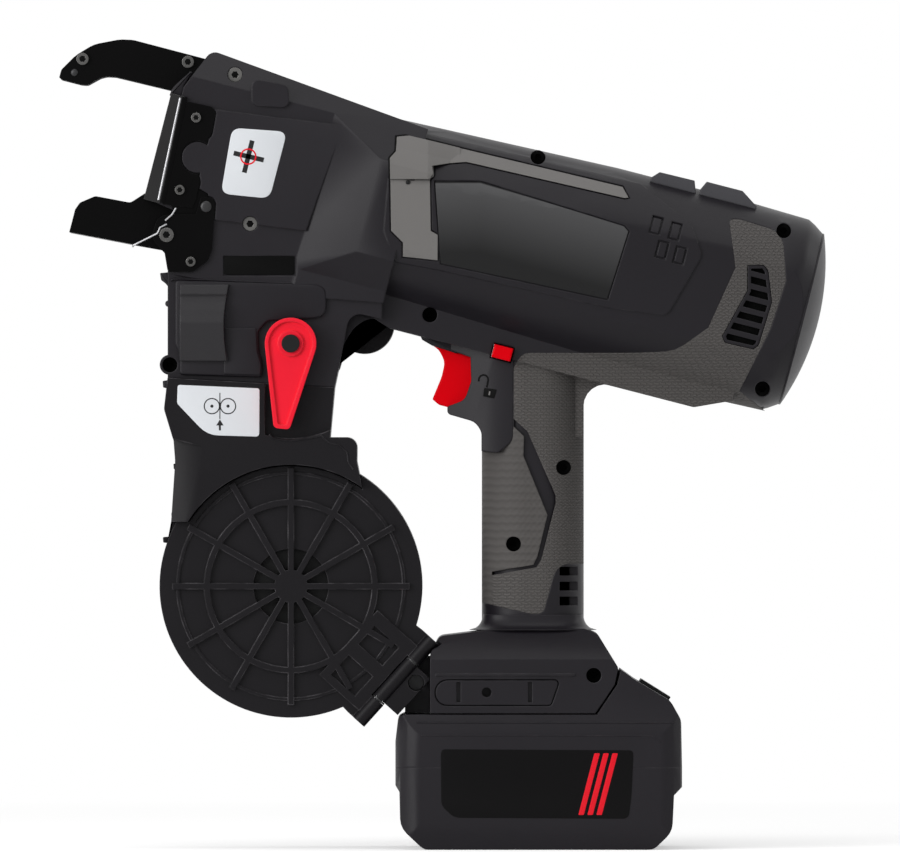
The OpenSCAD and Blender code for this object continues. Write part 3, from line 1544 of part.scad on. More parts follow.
module battery_upper_case() {
  length = foot_len * 0.6 + rail_front;
  color(black) difference() {
    union() {
      pack_form(upper_case_points(), 0);
      translate([-rail_front, -rail_neck_w / 2, battery_h - battery_wall])
        cube([length, rail_neck_w, rail_h + battery_wall]);
      translate([-rail_front, -rail_w / 2, battery_h + rail_neck_h])
        cube([length, rail_w, rail_h - rail_neck_h]);
    }
    difference() {
      pack_form(upper_case_points(), battery_wall);
      translate([-battery_len, -battery_w, battery_h - battery_wall])
        cube([2 * battery_len, 2 * battery_w, battery_h]);
    }
    pack_opening(seam_z - over, seam_z + 2 * battery_wall);
    button_block(run_gap, button_travel);
    for (i = [0 : blade_count - 1])
      translate([-rail_front - over, (i / (blade_count - 1) - 0.5) * rail_neck_w * 0.56 - run_gap,
        battery_h + rail_neck_h])
        cube([foot_front * 0.5, wall * 0.3 + 2 * run_gap, rail_h]);
  }
}

module battery_button() {
  color(dark_grey) button_block(0, 0);
}

cell_rows = 2;
cells_a_row = 5;

module battery_cells() {
  pitch = cell_d + seat_gap;
  color([0.2, 0.35, 0.6]) for (row = [0 : cell_rows - 1]) for (i = [0 : cells_a_row - 1])
    bar_across([battery_mid + (i - (cells_a_row - 1) / 2) * pitch,
      battery_wall + seat_gap + cell_d / 2 + row * pitch],
      cell_d, -cell_len / 2, cell_len / 2);
}

// Drive in the barrel

rotor_d = motor_d * 0.56;

module main_motor() {
  color(steel) on_barrel() difference() {
    bar_along(motor_d, motor_u, motor_u + motor_len);
    bar_along(rotor_d + 2 * run_gap, motor_u + wall, motor_u + motor_len - wall);
    bar_along(rotor_shaft_d + 2 * run_gap, motor_u - over, motor_u + motor_len + over);
  }
}

sun_d = gear_case_d * 0.2;
planet_d = gear_case_d * 0.26;
carrier_u = gear_case_u + gear_case_len * 0.35;

module rotor_shaft() {
  color(steel) on_barrel() {
    bar_along(rotor_shaft_d, gear_case_u + gear_case_len * 0.62, rear_bearing_u + bearing_w);
    bar_along(rotor_d, motor_u + 2 * wall, motor_u + motor_len - 2 * wall);
    bar_along(sun_d, gear_case_u + gear_case_len * 0.5, gear_case_u + gear_case_len * 0.8);
  }
}

fan_blades = 9;
fan_d = motor_d * 0.94;
fan_u = motor_u + motor_len + run_gap;
fan_w = rear_bearing_u - fan_u - run_gap;
fan_hub_d = rotor_shaft_d * 1.6;
fan_root = (rotor_shaft_d + fan_hub_d) / 4;

module cooling_fan() {
  color(dark_grey) on_barrel() difference() {
    union() {
      bar_along(fan_d, fan_u, fan_u + fan_w * 0.3);
      bar_along(fan_hub_d, fan_u, fan_u + fan_w);
      for (i = [0 : fan_blades - 1])
        rotate([360 / fan_blades * i, 0, 0])
          translate([fan_u, -wall * 0.2, fan_root])
            cube([fan_w, wall * 0.4, fan_d * 0.46 - fan_root]);
    }
    bar_along(rotor_shaft_d, fan_u - over, fan_u + fan_w + over);
  }
}

module bearing(outer, bore, u) {
  on_barrel() difference() {
    bar_along(outer, u, u + bearing_w);
    bar_along(bore + 2 * shaft_gap, u - over, u + bearing_w + over);
  }
}

module rear_bearing() {
  color(steel) bearing(rear_bearing_d, rotor_shaft_d, rear_bearing_u);
}

module front_bearing() {
  color(steel) bearing(bearing_d, twist_shaft_d, front_bearing_u);
}

module gear_case() {
  u1 = gear_case_u + gear_case_len;
  color(dark_grey) on_barrel() difference() {
    bar_along(gear_case_d, gear_case_u, u1);
    bar_along(gear_case_d - 2 * wall, gear_case_u + wall, u1 - wall);
    bar_along(twist_shaft_d + 2 * shaft_gap, gear_case_u - over, gear_case_u + 2 * wall);
    bar_along(rotor_shaft_d + 2 * shaft_gap, u1 - 2 * wall, u1 + over);
  }
}

planet_count = 3;
planet_r = (sun_d + planet_d) / 2 + run_gap;

module planet_gears() {
  color(steel) on_barrel() for (i = [0 : planet_count - 1])
    rotate([360 / planet_count * i, 0, 0]) translate([0, 0, planet_r])
      bar_along(planet_d, carrier_u + wall, gear_case_u + gear_case_len * 0.75);
}

hook_len = nose_reach * 0.09;
hook_front = -nose_reach + wall;

module twist_shaft() {
  color(steel) on_barrel() {
    bar_along(twist_shaft_d, hook_front + hook_len, carrier_u + wall);
    bar_along(2 * planet_r + planet_d * 0.6, carrier_u, carrier_u + wall);
  }
}

module twist_hook() {
  half = twist_shaft_d * 0.6;
  color(steel) on_barrel() difference() {
    bar_along(2 * half, hook_front, hook_front + hook_len);
    translate([hook_front - over, -half * 2, -half * 0.3]) cube([hook_len * 0.7, half * 4, half * 0.6]);
  }
}

left_housing();
right_housing();
rear_cap();
left_overmould();
right_overmould();
vent_grilles();
side_trims();
side_badge();
top_bumpers();
housing_screws();
foot_plate();
contact_plates();
nose_side_plates();
jaw_brackets();
plate_screws();
upper_jaw_plates();
upper_jaw_guide();
jaw_screws();
lower_jaw();
lower_jaw_pin();
jaw_spring();
wire_guide();
release_lever();
lever_cap();
drive_gear();
idler_gear();
feed_motor();
feed_reduction();
feed_motor_cover();
reel_case();
magazine_cover();
reel_door();
door_hinge_pin();
hinge_bracket();
bracket_screw();
reel();
wire_coil();
reel_spindle();
trigger();
trigger_switch();
switch_bezel();
lock_button();
control_board();
terminal_block();
battery_lower_case();
battery_upper_case();
battery_button();
battery_cells();
main_motor();
rotor_shaft();
cooling_fan();
rear_bearing();
gear_case();
planet_gears();
twist_shaft();
front_bearing();
twist_hook();
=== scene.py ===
"""Looks of a battery rebar tying tool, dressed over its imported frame.

The CAD nodes keep their solids and get smooth shading and procedural finishes.
Stickers, signs, the wound wire and other additions are numpy surfaces that ride on the same bodies.
"""
import math

import bpy
import numpy as np
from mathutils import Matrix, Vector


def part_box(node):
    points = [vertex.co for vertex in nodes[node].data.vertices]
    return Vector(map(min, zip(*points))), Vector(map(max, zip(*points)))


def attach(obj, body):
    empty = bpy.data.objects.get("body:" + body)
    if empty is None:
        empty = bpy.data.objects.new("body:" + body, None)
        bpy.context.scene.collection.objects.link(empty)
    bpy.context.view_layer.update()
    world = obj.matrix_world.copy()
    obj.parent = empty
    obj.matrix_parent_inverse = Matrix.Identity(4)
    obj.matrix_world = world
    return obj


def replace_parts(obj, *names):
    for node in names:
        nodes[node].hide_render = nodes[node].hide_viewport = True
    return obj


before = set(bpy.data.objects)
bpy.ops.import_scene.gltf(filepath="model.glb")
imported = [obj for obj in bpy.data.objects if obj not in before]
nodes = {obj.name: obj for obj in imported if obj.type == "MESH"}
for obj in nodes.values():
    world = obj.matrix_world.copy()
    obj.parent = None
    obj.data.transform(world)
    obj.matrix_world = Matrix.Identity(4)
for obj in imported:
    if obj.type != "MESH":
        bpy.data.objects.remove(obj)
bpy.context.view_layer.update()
scene = bpy.context.scene
scene.view_settings.view_transform = "Standard"

MM = 0.001
PIXEL = 0.415 * MM  # of the photograph
PHOTO_WIDTH = 900
PHOTO_ORIGIN = (540, 849)  # its pixel at x = 0 and z = 0
BARREL_TILT = math.radians(14.5)
BARREL_Z = 248.2 * MM
SIDES = (("left", -1), ("right", 1))

# In millimetres: the barrel's reach behind x = 0, its radius and its flats, and the left side's faces
BARREL_REAR, BARREL_RADIUS, BARREL_FLAT = 112, 41.7, 37
NOSE_SIDE, FEEDER_SIDE, PLATE_SIDE, SCREW_FACE, BATTERY_SIDE = -28.0, -27.0, -30.0, -31.6, -37.5


# Node helpers

def put(tree, kind, links=None, **values):
    """One node of a kind, with its properties and sockets set and its inputs linked."""
    node = tree.nodes.new(kind)
    for key, value in values.items():
        if hasattr(node, key):
            setattr(node, key, value)
        else:
            node.inputs[key.replace("_", " ")].default_value = value
    for key, source in (links or {}).items():
        tree.links.new(source, node.inputs[key])
    return node


def new_tree(name):
    """A fresh material whose tree holds one Principled shader."""
    material = bpy.data.materials.new(name)
    material.use_nodes = True
    tree = material.node_tree
    tree.nodes.clear()
    shader = put(tree, "ShaderNodeBsdfPrincipled")
    put(tree, "ShaderNodeOutputMaterial", {"Surface": shader.outputs["BSDF"]})
    return material, tree, shader


def new_group(name, inputs, outputs):
    """An empty node group with float inputs (name: default) and outputs (name: socket type)."""
    group = bpy.data.node_groups.new(name, "ShaderNodeTree")
    for label, default in inputs.items():
        socket = group.interface.new_socket(label, in_out="INPUT", socket_type="NodeSocketFloat")
        socket.default_value = default
    for label, kind in outputs.items():
        group.interface.new_socket(label, in_out="OUTPUT", socket_type=kind)
    return group, group.nodes.new("NodeGroupInput").outputs, group.nodes.new("NodeGroupOutput").inputs


def use_group(tree, group, **values):
    """A placed copy of a node group with its own values."""
    node = put(tree, "ShaderNodeGroup", node_tree=group)
    for key, value in values.items():
        node.inputs[key.replace("_", " ")].default_value = value
    return node.outputs


def maths(tree, operation, *terms):
    """One Math node on sockets and numbers."""
    node = put(tree, "ShaderNodeMath", operation=operation)
    for socket, term in zip(node.inputs, terms):
        if isinstance(term, bpy.types.NodeSocket):
            tree.links.new(term, socket)
        else:
            socket.default_value = term
    return node.outputs[0]


def ramp(tree, value, start, end, low=0.0, high=1.0):
    """A value carried from the range start..end to low..high, and held beyond it."""
    return put(tree, "ShaderNodeMapRange", {"Value": value}, From_Min=start, From_Max=end,
               To_Min=low, To_Max=high).outputs[0]


def mixed(tree, factor, first, second):
    """A colour between two colours, each fixed or another node's output, by a mask."""
    node = put(tree, "ShaderNodeMix", {"Factor": factor}, data_type="RGBA")
    for index, value in ((6, first), (7, second)):
        if isinstance(value, bpy.types.NodeSocket):
            tree.links.new(value, node.inputs[index])
        else:
            node.inputs[index].default_value = (*value, 1.0)
    return node.outputs[2]


# Effects shared by the finishes

def make_moulded_grain():
    """Spark-eroded mould texture: fine noise plus small cells as a height, and slow mottling as a mask."""
    group, given, out = new_group("moulded_grain", {"Scale": 2600.0, "Mottle Scale": 18.0},
                                  {"Height": "NodeSocketFloat", "Mottle": "NodeSocketFloat"})
    where = put(group, "ShaderNodeTexCoord").outputs["Object"]
    fine = put(group, "ShaderNodeTexNoise", {"Vector": where, "Scale": given["Scale"]}, Detail=3.0)
    cells = put(group, "ShaderNodeTexVoronoi", {"Vector": where, "Scale": given["Scale"]})
    slow = put(group, "ShaderNodeTexNoise", {"Vector": where, "Scale": given["Mottle Scale"]}, Detail=4.0)
    group.links.new(maths(group, "ADD", fine.outputs["Fac"], cells.outputs["Distance"]), out["Height"])
    group.links.new(slow.outputs["Fac"], out["Mottle"])
    return group


def make_wear_and_sheen_group():
    """Rounded edges and a mask of their wear, which also carries painted highlights: how far the normal
    rounded over a radius leaves the true one, broken up by noise."""
    group, given, out = new_group("edge_wear_and_sheen", {"Radius": 0.0005, "Amount": 1.0},
                                  {"Wear And Sheen": "NodeSocketFloat", "Normal": "NodeSocketVector"})
    soft = put(group, "ShaderNodeBevel", {"Radius": given["Radius"]}, samples=6).outputs["Normal"]
    true = put(group, "ShaderNodeNewGeometry").outputs["Normal"]
    agree = put(group, "ShaderNodeVectorMath", {0: soft, 1: true}, operation="DOT_PRODUCT").outputs["Value"]
    where = put(group, "ShaderNodeTexCoord").outputs["Object"]
    patch = put(group, "ShaderNodeTexNoise", {"Vector": where}, Scale=160.0, Detail=5.0).outputs["Fac"]
    worn_and_lit = maths(group, "MULTIPLY", ramp(group, agree, 0.99, 0.8), ramp(group, patch, 0.42, 0.68, 0.1, 1.0))
    group.links.new(maths(group, "MULTIPLY", worn_and_lit, given["Amount"]), out["Wear And Sheen"])
    group.links.new(soft, out["Normal"])
    return group


def make_grip_pattern():
    """Relief of the grip's skin: staggered wavy dashes behind its groove, low waves in front of the groove.

    Dashes are a brick pattern on (x, z), with each row waved along x.
    The groove is a curve of x over z, and a point lies in front of it where its x is less."""
    group, given, out = new_group("grip_pattern", {"Dash Scale": 1000.0, "Wave Scale": 2600.0},
                                  {"Height": "NodeSocketFloat"})
    where = put(group, "ShaderNodeTexCoord").outputs["Object"]
    axes = put(group, "ShaderNodeSeparateXYZ", {"Vector": where}).outputs
    x, y, z = axes["X"], axes["Y"], axes["Z"]
    across = maths(group, "ADD", x, maths(group, "MULTIPLY", y, 0.6))
    wave = maths(group, "SINE", maths(group, "MULTIPLY", across, given["Wave Scale"]))
    sway = maths(group, "MULTIPLY", wave, 0.0002)
    flat = put(group, "ShaderNodeCombineXYZ", {"X": across, "Y": maths(group, "ADD", z, sway)}).outputs[0]
    dashes = put(group, "ShaderNodeTexBrick", {"Vector": flat, "Scale": given["Dash Scale"]}, offset=0.5,
                 Brick_Width=2.6, Row_Height=1.25, Mortar_Size=0.32, Mortar_Smooth=0.6).outputs["Fac"]
    along = ramp(group, z, 0.1141, 0.1785)
    groove = put(group, "ShaderNodeFloatCurve", {"Value": along})
    line = groove.mapping.curves[0]
    line.points[0].location = (0.0, 0.15)
    line.points[1].location = (1.0, 0.39)
    for spot in ((0.05, 0.65), (0.084, 0.71), (0.39, 0.845), (0.45, 0.89), (0.506, 0.88), (0.92, 0.53)):
        line.points.new(*spot)
    groove.mapping.update()
    edge = ramp(group, groove.outputs[0], 0.0, 1.0, -0.025, 0.01)
    front = ramp(group, maths(group, "SUBTRACT", edge, x), -0.0004, 0.0004)
    low = maths(group, "MULTIPLY", front, ramp(group, z, 0.184, 0.18))
    swell = maths(group, "SINE", maths(group, "MULTIPLY", maths(group, "ADD", z, sway), 2000.0))
    swell = maths(group, "MULTIPLY", swell, 0.35)
    rear = maths(group, "MULTIPLY", maths(group, "SUBTRACT", 1.0, dashes), maths(group, "SUBTRACT", 1.0, low))
    group.links.new(maths(group, "ADD", rear, maths(group, "MULTIPLY", swell, low)), out["Height"])
    return group


GRAIN = make_moulded_grain()
EDGE_WEAR_AND_SHEEN = make_wear_and_sheen_group()
GRIP = make_grip_pattern()


# Finishes

def finish(name, dark, light, worn_and_lit, rough, grain=0.1, scale=2400.0, wear_and_sheen=0.6, level=0.2, metal=0.0,
           radius=0.5, relief=None):
    """A moulded or coated surface: mottled colour, rubbed and rounded edges whose lighter colour is partly a
    painted highlight, uneven gloss and a fine grain.

    A relief group adds a coarser pattern under the grain, whose hollows are darkened with painted shade."""
    material, tree, shader = new_tree(name)
    texture = use_group(tree, GRAIN, Scale=scale)
    edges = use_group(tree, EDGE_WEAR_AND_SHEEN, Amount=wear_and_sheen, Radius=radius * MM)
    body = mixed(tree, texture["Mottle"], dark, light)
    normal = edges["Normal"]
    if relief:
        pattern = use_group(tree, relief)["Height"]
        # Painted shade in the relief's hollows.
        hollow_shade = ramp(tree, pattern, 0.0, 1.0, 0.3, 0.0)
        body = mixed(tree, hollow_shade, body, [0.45 * part for part in dark])
        normal = put(tree, "ShaderNodeBump", {"Height": pattern, "Normal": normal},
                     Strength=0.9, Distance=0.0005).outputs["Normal"]
    tree.links.new(mixed(tree, edges["Wear And Sheen"], body, worn_and_lit), shader.inputs["Base Color"])
    tree.links.new(ramp(tree, texture["Mottle"], 0.3, 0.7, *rough), shader.inputs["Roughness"])
    bump = put(tree, "ShaderNodeBump", {"Height": texture["Height"], "Normal": normal},
               Strength=grain, Distance=0.0002)
    tree.links.new(bump.outputs["Normal"], shader.inputs["Normal"])
    shader.inputs["Specular IOR Level"].default_value = level
    shader.inputs["Metallic"].default_value = metal
    return material


def screw_and_hole_shade_finish(name):
    """Screws: steel heads in the nose, and behind it dark heads deep in their holes, painted near black with
    the holes' shade.
    """
    material, tree, shader = new_tree(name)
    texture = use_group(tree, GRAIN, Scale=900.0)
    edges = use_group(tree, EDGE_WEAR_AND_SHEEN, Amount=0.8, Radius=0.3 * MM)
    where = put(tree, "ShaderNodeTexCoord").outputs["Object"]
    axes = put(tree, "ShaderNodeSeparateXYZ", {"Vector": where}).outputs
    in_front = ramp(tree, axes["X"], -0.085, -0.095)
    steel = maths(tree, "MULTIPLY", in_front, ramp(tree, axes["Z"], 0.215, 0.225))
    head = mixed(tree, texture["Mottle"], (0.09, 0.088, 0.085), (0.15, 0.147, 0.142))
    head = mixed(tree, edges["Wear And Sheen"], head, (0.36, 0.355, 0.345))
    # Painted shade: the heads deep in their holes are near black.
    hole_shade = mixed(tree, texture["Mottle"], (0.0008, 0.0008, 0.0008), (0.0014, 0.0014, 0.0014))
    tree.links.new(mixed(tree, steel, hole_shade, head), shader.inputs["Base Color"])
    tree.links.new(maths(tree, "MULTIPLY", steel, 0.9), shader.inputs["Metallic"])
    tree.links.new(ramp(tree, steel, 0.0, 1.0, 0.75, 0.34), shader.inputs["Roughness"])
    tree.links.new(edges["Normal"], shader.inputs["Normal"])
    shader.inputs["Specular IOR Level"].default_value = 0.05
    return material


def badge_painted_sheen_finish(name):
    """The badge: a painted shadow of a groove as a black line along its top edge, and below it a painted
    reflection, grey that fades to near black.

    The top edge is the lower of a level line and a line that falls to the rear."""
    material, tree, shader = new_tree(name)
    texture = use_group(tree, GRAIN, Scale=900.0)
    edges = use_group(tree, EDGE_WEAR_AND_SHEEN, Amount=0.4, Radius=0.3 * MM)
    where = put(tree, "ShaderNodeTexCoord").outputs["Object"]
    axes = put(tree, "ShaderNodeSeparateXYZ", {"Vector": where}).outputs
    slope = maths(tree, "SUBTRACT", 0.2703, maths(tree, "MULTIPLY", axes["X"], 0.291))
    drop = maths(tree, "SUBTRACT", maths(tree, "MINIMUM", slope, 0.2775), axes["Z"])
    # Painted reflection: grey under the top edge, fading to near black lower down.
    painted_sheen_tone = mixed(tree, ramp(tree, drop, 0.0015, 0.03), (0.075, 0.075, 0.077), (0.0105, 0.0105, 0.0108))
    # Painted shadow of a groove: a near-black line along the top edge.
    groove_shade_and_sheen = mixed(tree, ramp(tree, drop, 0.0012, 0.0016), (0.001, 0.001, 0.001), painted_sheen_tone)
    tree.links.new(mixed(tree, edges["Wear And Sheen"], groove_shade_and_sheen, (0.05, 0.05, 0.05)), shader.inputs["Base Color"])
    tree.links.new(ramp(tree, texture["Mottle"], 0.3, 0.7, 0.26, 0.32), shader.inputs["Roughness"])
    tree.links.new(edges["Normal"], shader.inputs["Normal"])
    shader.inputs["Specular IOR Level"].default_value = 0.16
    return material


# Its light edge colour is partly wear, partly a painted highlight on the rounded edges; the feeder's copy
# shares it.
black_plastic = finish("black_plastic", (0.0083, 0.0072, 0.0095), (0.0122, 0.0108, 0.0138),
                       (0.05, 0.047, 0.052), (0.36, 0.46), 0.12, 2400.0, 0.6, 0.17, radius=0.8)
# A darker copy of the black plastic: painted shade on the magazine, low on the tool; its light edge colour is
# a painted highlight on the door's ribs.
magazine_black_painted_shade = finish("magazine_black_painted_shade", (0.0048, 0.0043, 0.0053), (0.0072, 0.0064, 0.0079),
                        (0.13, 0.123, 0.132), (0.36, 0.46), 0.12, 2400.0, 0.9, 0.12, radius=0.6)
# A lit copy of the black plastic for the feeder bulge: darker colour under twice the gloss, to catch brighter
# highlights.
feeder_black_lit_copy = finish("feeder_black_lit_copy", (0.0062, 0.0054, 0.0071), (0.0092, 0.0081, 0.0104),
                      (0.05, 0.047, 0.052), (0.34, 0.42), 0.12, 2400.0, 0.6, 0.34, radius=0.8)
dark_plastic = finish("dark_plastic", (0.0055, 0.0055, 0.0058), (0.008, 0.008, 0.0083), (0.02, 0.02, 0.021),
                      (0.42, 0.52), 0.1, level=0.15)
grip_rubber = finish("grip_rubber", (0.094, 0.088, 0.085), (0.111, 0.105, 0.101), (0.135, 0.128, 0.124),
                     (0.6, 0.7), 0.16, 1500.0, 0.4, 0.12, radius=0.7, relief=GRIP)
trim_grey = finish("trim_grey", (0.155, 0.15, 0.145), (0.175, 0.168, 0.163), (0.215, 0.205, 0.198),
                   (0.5, 0.6), 0.12, level=0.18, radius=0.4)
bumper_rubber = finish("bumper_rubber", (0.06, 0.059, 0.065), (0.073, 0.072, 0.08), (0.098, 0.098, 0.104),
                       (0.5, 0.6), 0.2, 2000.0, 0.5, 0.18, radius=0.9)
red_gloss = finish("red_gloss", (0.72, 0.0002, 0.0042), (0.8, 0.0004, 0.006), (0.85, 0.008, 0.016),
                   (0.2, 0.28), 0.012, 1200.0, 0.4, 0.05, radius=1.4)
red_lever = finish("red_lever", (0.8, 0.009, 0.027), (0.88, 0.013, 0.034), (0.94, 0.07, 0.085),
                   (0.34, 0.42), 0.03, 1200.0, 0.5, 0.16, radius=0.7)
painted_steel = finish("painted_steel", (0.0011, 0.001, 0.0011), (0.0018, 0.0017, 0.0018),
                       (0.04, 0.04, 0.041), (0.3, 0.4), 0.06, 900.0, 0.55, 0.045, radius=0.3)
contact_steel = finish("contact_steel", (0.012, 0.0115, 0.0118), (0.018, 0.0175, 0.018), (0.42, 0.41, 0.41),
                       (0.34, 0.46), 0.06, 800.0, 0.7, 0.3, 0.4, radius=0.35)
badge_painted_sheen = badge_painted_sheen_finish("badge_painted_sheen")
screw_steel_and_hole_shade = screw_and_hole_shade_finish("screw_steel_and_hole_shade")
black_oxide = finish("black_oxide", (0.02, 0.02, 0.021), (0.034, 0.034, 0.035), (0.22, 0.22, 0.22),
                     (0.3, 0.42), 0.05, 900.0, 0.8, 0.4, 0.6, radius=0.3)
ring_steel = finish("ring_steel", (0.06, 0.059, 0.057), (0.1, 0.098, 0.095), (0.36, 0.355, 0.345),
                    (0.28, 0.4), 0.05, 900.0, 0.9, 0.5, 0.9, radius=0.3)
bright_steel = finish("bright_steel", (0.45, 0.45, 0.46), (0.58, 0.58, 0.59), (0.75, 0.75, 0.76),
                      (0.26, 0.4), 0.05, 700.0, 0.8, 0.5, 1.0, radius=0.3)
motor_steel = finish("motor_steel", (0.3, 0.3, 0.31), (0.4, 0.4, 0.41), (0.6, 0.6, 0.6),
                     (0.35, 0.5), 0.05, 700.0, 0.6, 0.5, 1.0, radius=0.3)
tie_wire = finish("tie_wire", (0.2, 0.2, 0.205), (0.3, 0.3, 0.305), (0.5, 0.5, 0.5),
                  (0.3, 0.45), 0.08, 1500.0, 0.5, 0.5, 1.0, radius=0.1)
cell_wrap = finish("cell_wrap", (0.03, 0.09, 0.25), (0.04, 0.11, 0.3), (0.2, 0.25, 0.4), (0.3, 0.4), 0.02)
board_green = finish("board_green", (0.01, 0.08, 0.03), (0.015, 0.1, 0.04), (0.1, 0.2, 0.1),
                     (0.35, 0.45), 0.02)
sticker_white = finish("sticker_white", (0.67, 0.69, 0.72), (0.72, 0.745, 0.775), (0.5, 0.5, 0.5),
                       (0.34, 0.42), 0.02, 500.0, 0.5, 0.25, radius=0.2)
sticker_ink = finish("sticker_ink", (0.012, 0.012, 0.013), (0.02, 0.02, 0.021), (0.1, 0.1, 0.1),
                     (0.4, 0.5), 0.02, 500.0, 0.3, 0.15, radius=0.1)
label_black = finish("label_black", (0.0024, 0.0021, 0.0024), (0.0034, 0.0031, 0.0034), (0.02, 0.02, 0.02),
                     (0.22, 0.28), 0.01, 600.0, 0.4, 0.08, radius=0.2)
label_red = finish("label_red", (0.72, 0.006, 0.018), (0.8, 0.009, 0.022), (0.6, 0.05, 0.05),
                   (0.3, 0.38), 0.02, 600.0, 0.4, 0.16, radius=0.1)
# Near-black paint for signs, seams and the serial plate, also used as painted shade in the screw sockets.
sign_ink_and_painted_shade = finish("sign_ink_and_painted_shade", (0.0008, 0.0008, 0.0008), (0.0014, 0.0014, 0.0014), (0.008, 0.008, 0.008),
                    (0.5, 0.6), 0.05, 800.0, 0.3, 0.06, radius=0.1)
# Near-black matte: painted shade for the screens and seals in openings and gaps.
painted_shade_black = finish("painted_shade_black", (0.0012, 0.0012, 0.0012), (0.002, 0.002, 0.002), (0.004, 0.004, 0.004),
                      (0.7, 0.8), 0.3, 1200.0, 0.2, 0.08, radius=0.2)

FINISHES = {
    black_plastic: "left_housing right_housing rear_cap vent_grilles switch_bezel foot_plate"
                   " battery_lower_case battery_upper_case reel_spindle",
    magazine_black_painted_shade: "feed_motor_cover reel_case magazine_cover reel_door hinge_bracket",
    dark_plastic: "lever_cap battery_button terminal_block trigger_switch reel cooling_fan feed_reduction",
    grip_rubber: "left_overmould right_overmould",
    trim_grey: "side_trims",
    badge_painted_sheen: "side_badge",
    bumper_rubber: "top_bumpers",
    red_gloss: "trigger lock_button",
    red_lever: "release_lever",
    painted_steel: "nose_side_plates jaw_brackets upper_jaw_plates lower_jaw",
    contact_steel: "contact_plates",
    screw_steel_and_hole_shade: "housing_screws",
    ring_steel: "plate_screws jaw_screws lower_jaw_pin",
    black_oxide: "bracket_screw door_hinge_pin",
    bright_steel: "upper_jaw_guide jaw_spring wire_guide drive_gear idler_gear rotor_shaft rear_bearing"
                  " planet_gears twist_shaft front_bearing twist_hook",
    tie_wire: "wire_coil",
    motor_steel: "main_motor feed_motor gear_case",
    cell_wrap: "battery_cells",
    board_green: "control_board",
}


def dress(node, material):
    """Gives a CAD node its finish and, in live modifiers, joined corners that stay sharp past 30 degrees."""
    piece = nodes[node]
    piece.data.materials.clear()
    piece.data.materials.append(material)
    piece.data.polygons.foreach_set("use_smooth", np.ones(len(piece.data.polygons), bool))
    piece.modifiers.new("join", "WELD").merge_threshold = 1e-5
    piece.modifiers.new("sharp", "EDGE_SPLIT").split_angle = math.radians(30)
    piece.modifiers.new("even_normals", "WEIGHTED_NORMAL").keep_sharp = True


for material, names in FINISHES.items():
    for node in names.split():
        dress(node, material)


# Surfaces worked out as arrays

def add_piece(name, points, faces, material, body):
    """A mesh piece from points and faces, smooth but for edges over 35 degrees, that rides on a body."""
    mesh = bpy.data.meshes.new(name)
    mesh.from_pydata(points.reshape(-1, 3).tolist(), [], faces)
    mesh.polygons.foreach_set("use_smooth", np.ones(len(mesh.polygons), bool))
    mesh.materials.append(material)
    mesh.update()
    piece = bpy.data.objects.new(name, mesh)
    scene.collection.objects.link(piece)
    piece.modifiers.new("sharp", "EDGE_SPLIT").split_angle = math.radians(35)
    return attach(piece, body)


def tiles(rows, columns, ring=False, loop=False):
    """Quads of a grid of points, closed across its columns for a ring and across its rows for a loop."""
    r, c = np.meshgrid(np.arange(rows - (not loop)), np.arange(columns - (not ring)), indexing="ij")
    up, over = (r + 1) % rows, (c + 1) % columns
    corners = [r * columns + c, r * columns + over, up * columns + over, up * columns + c]
    return np.stack(corners, -1).reshape(-1, 4).tolist()


def seen(*pixels):
    """Points of the photograph, in pixels, as (x, z) in metres."""
    return (np.array(pixels) - PHOTO_ORIGIN) * (1, -1) * PIXEL


def on_barrel(points):
    """Points (u, v) along and square to the barrel, in mm, as (x, z) in metres: a turn by its tilt."""
    u, v = np.array(points, float).T * MM
    c, s = math.cos(BARREL_TILT), math.sin(BARREL_TILT)
    return np.stack([u * c + v * s, BARREL_Z + v * c - u * s], -1)


def softened(points, reach, steps=6):
    """A closed outline whose corners are quadratic curves that start and end a reach away from them."""
    p = np.asarray(points, float)
    back, ahead = np.roll(p, 1, 0) - p, np.roll(p, -1, 0) - p
    far = np.broadcast_to(np.asarray(reach, float) * MM, len(p))[:, None]
    back_len = np.linalg.norm(back, axis=1, keepdims=True)
    ahead_len = np.linalg.norm(ahead, axis=1, keepdims=True)
    start = p + back / back_len * np.minimum(far, 0.48 * back_len)
    end = p + ahead / ahead_len * np.minimum(far, 0.48 * ahead_len)
    t = np.linspace(0, 1, steps + 1)[None, :, None]
    curve = (1 - t) ** 2 * start[:, None] + 2 * t * (1 - t) * p[:, None] + t ** 2 * end[:, None]
    return curve.reshape(-1, 2)


def turning_left(outline):
    """The outline in the order in which its signed area is positive."""
    x, z = outline.T
    return outline if np.sum(x * np.roll(z, -1) - np.roll(x, -1) * z) > 0 else outline[::-1]


def sideways(outline):
    """Unit vectors to the left of a closed outline's run at each point."""
    run = np.roll(outline, -1, 0) - np.roll(outline, 1, 0)
    run /= np.linalg.norm(run, axis=1, keepdims=True)
    return np.stack([-run[:, 1], run[:, 0]], -1)


def on_flat(y, out=-1):
    """Places (x, z, height) on a plane at a depth: the height goes out to the left, or to the right at 1."""
    return lambda x, z, height: np.stack(np.broadcast_arrays(x, out * height + y * MM, z), -1)


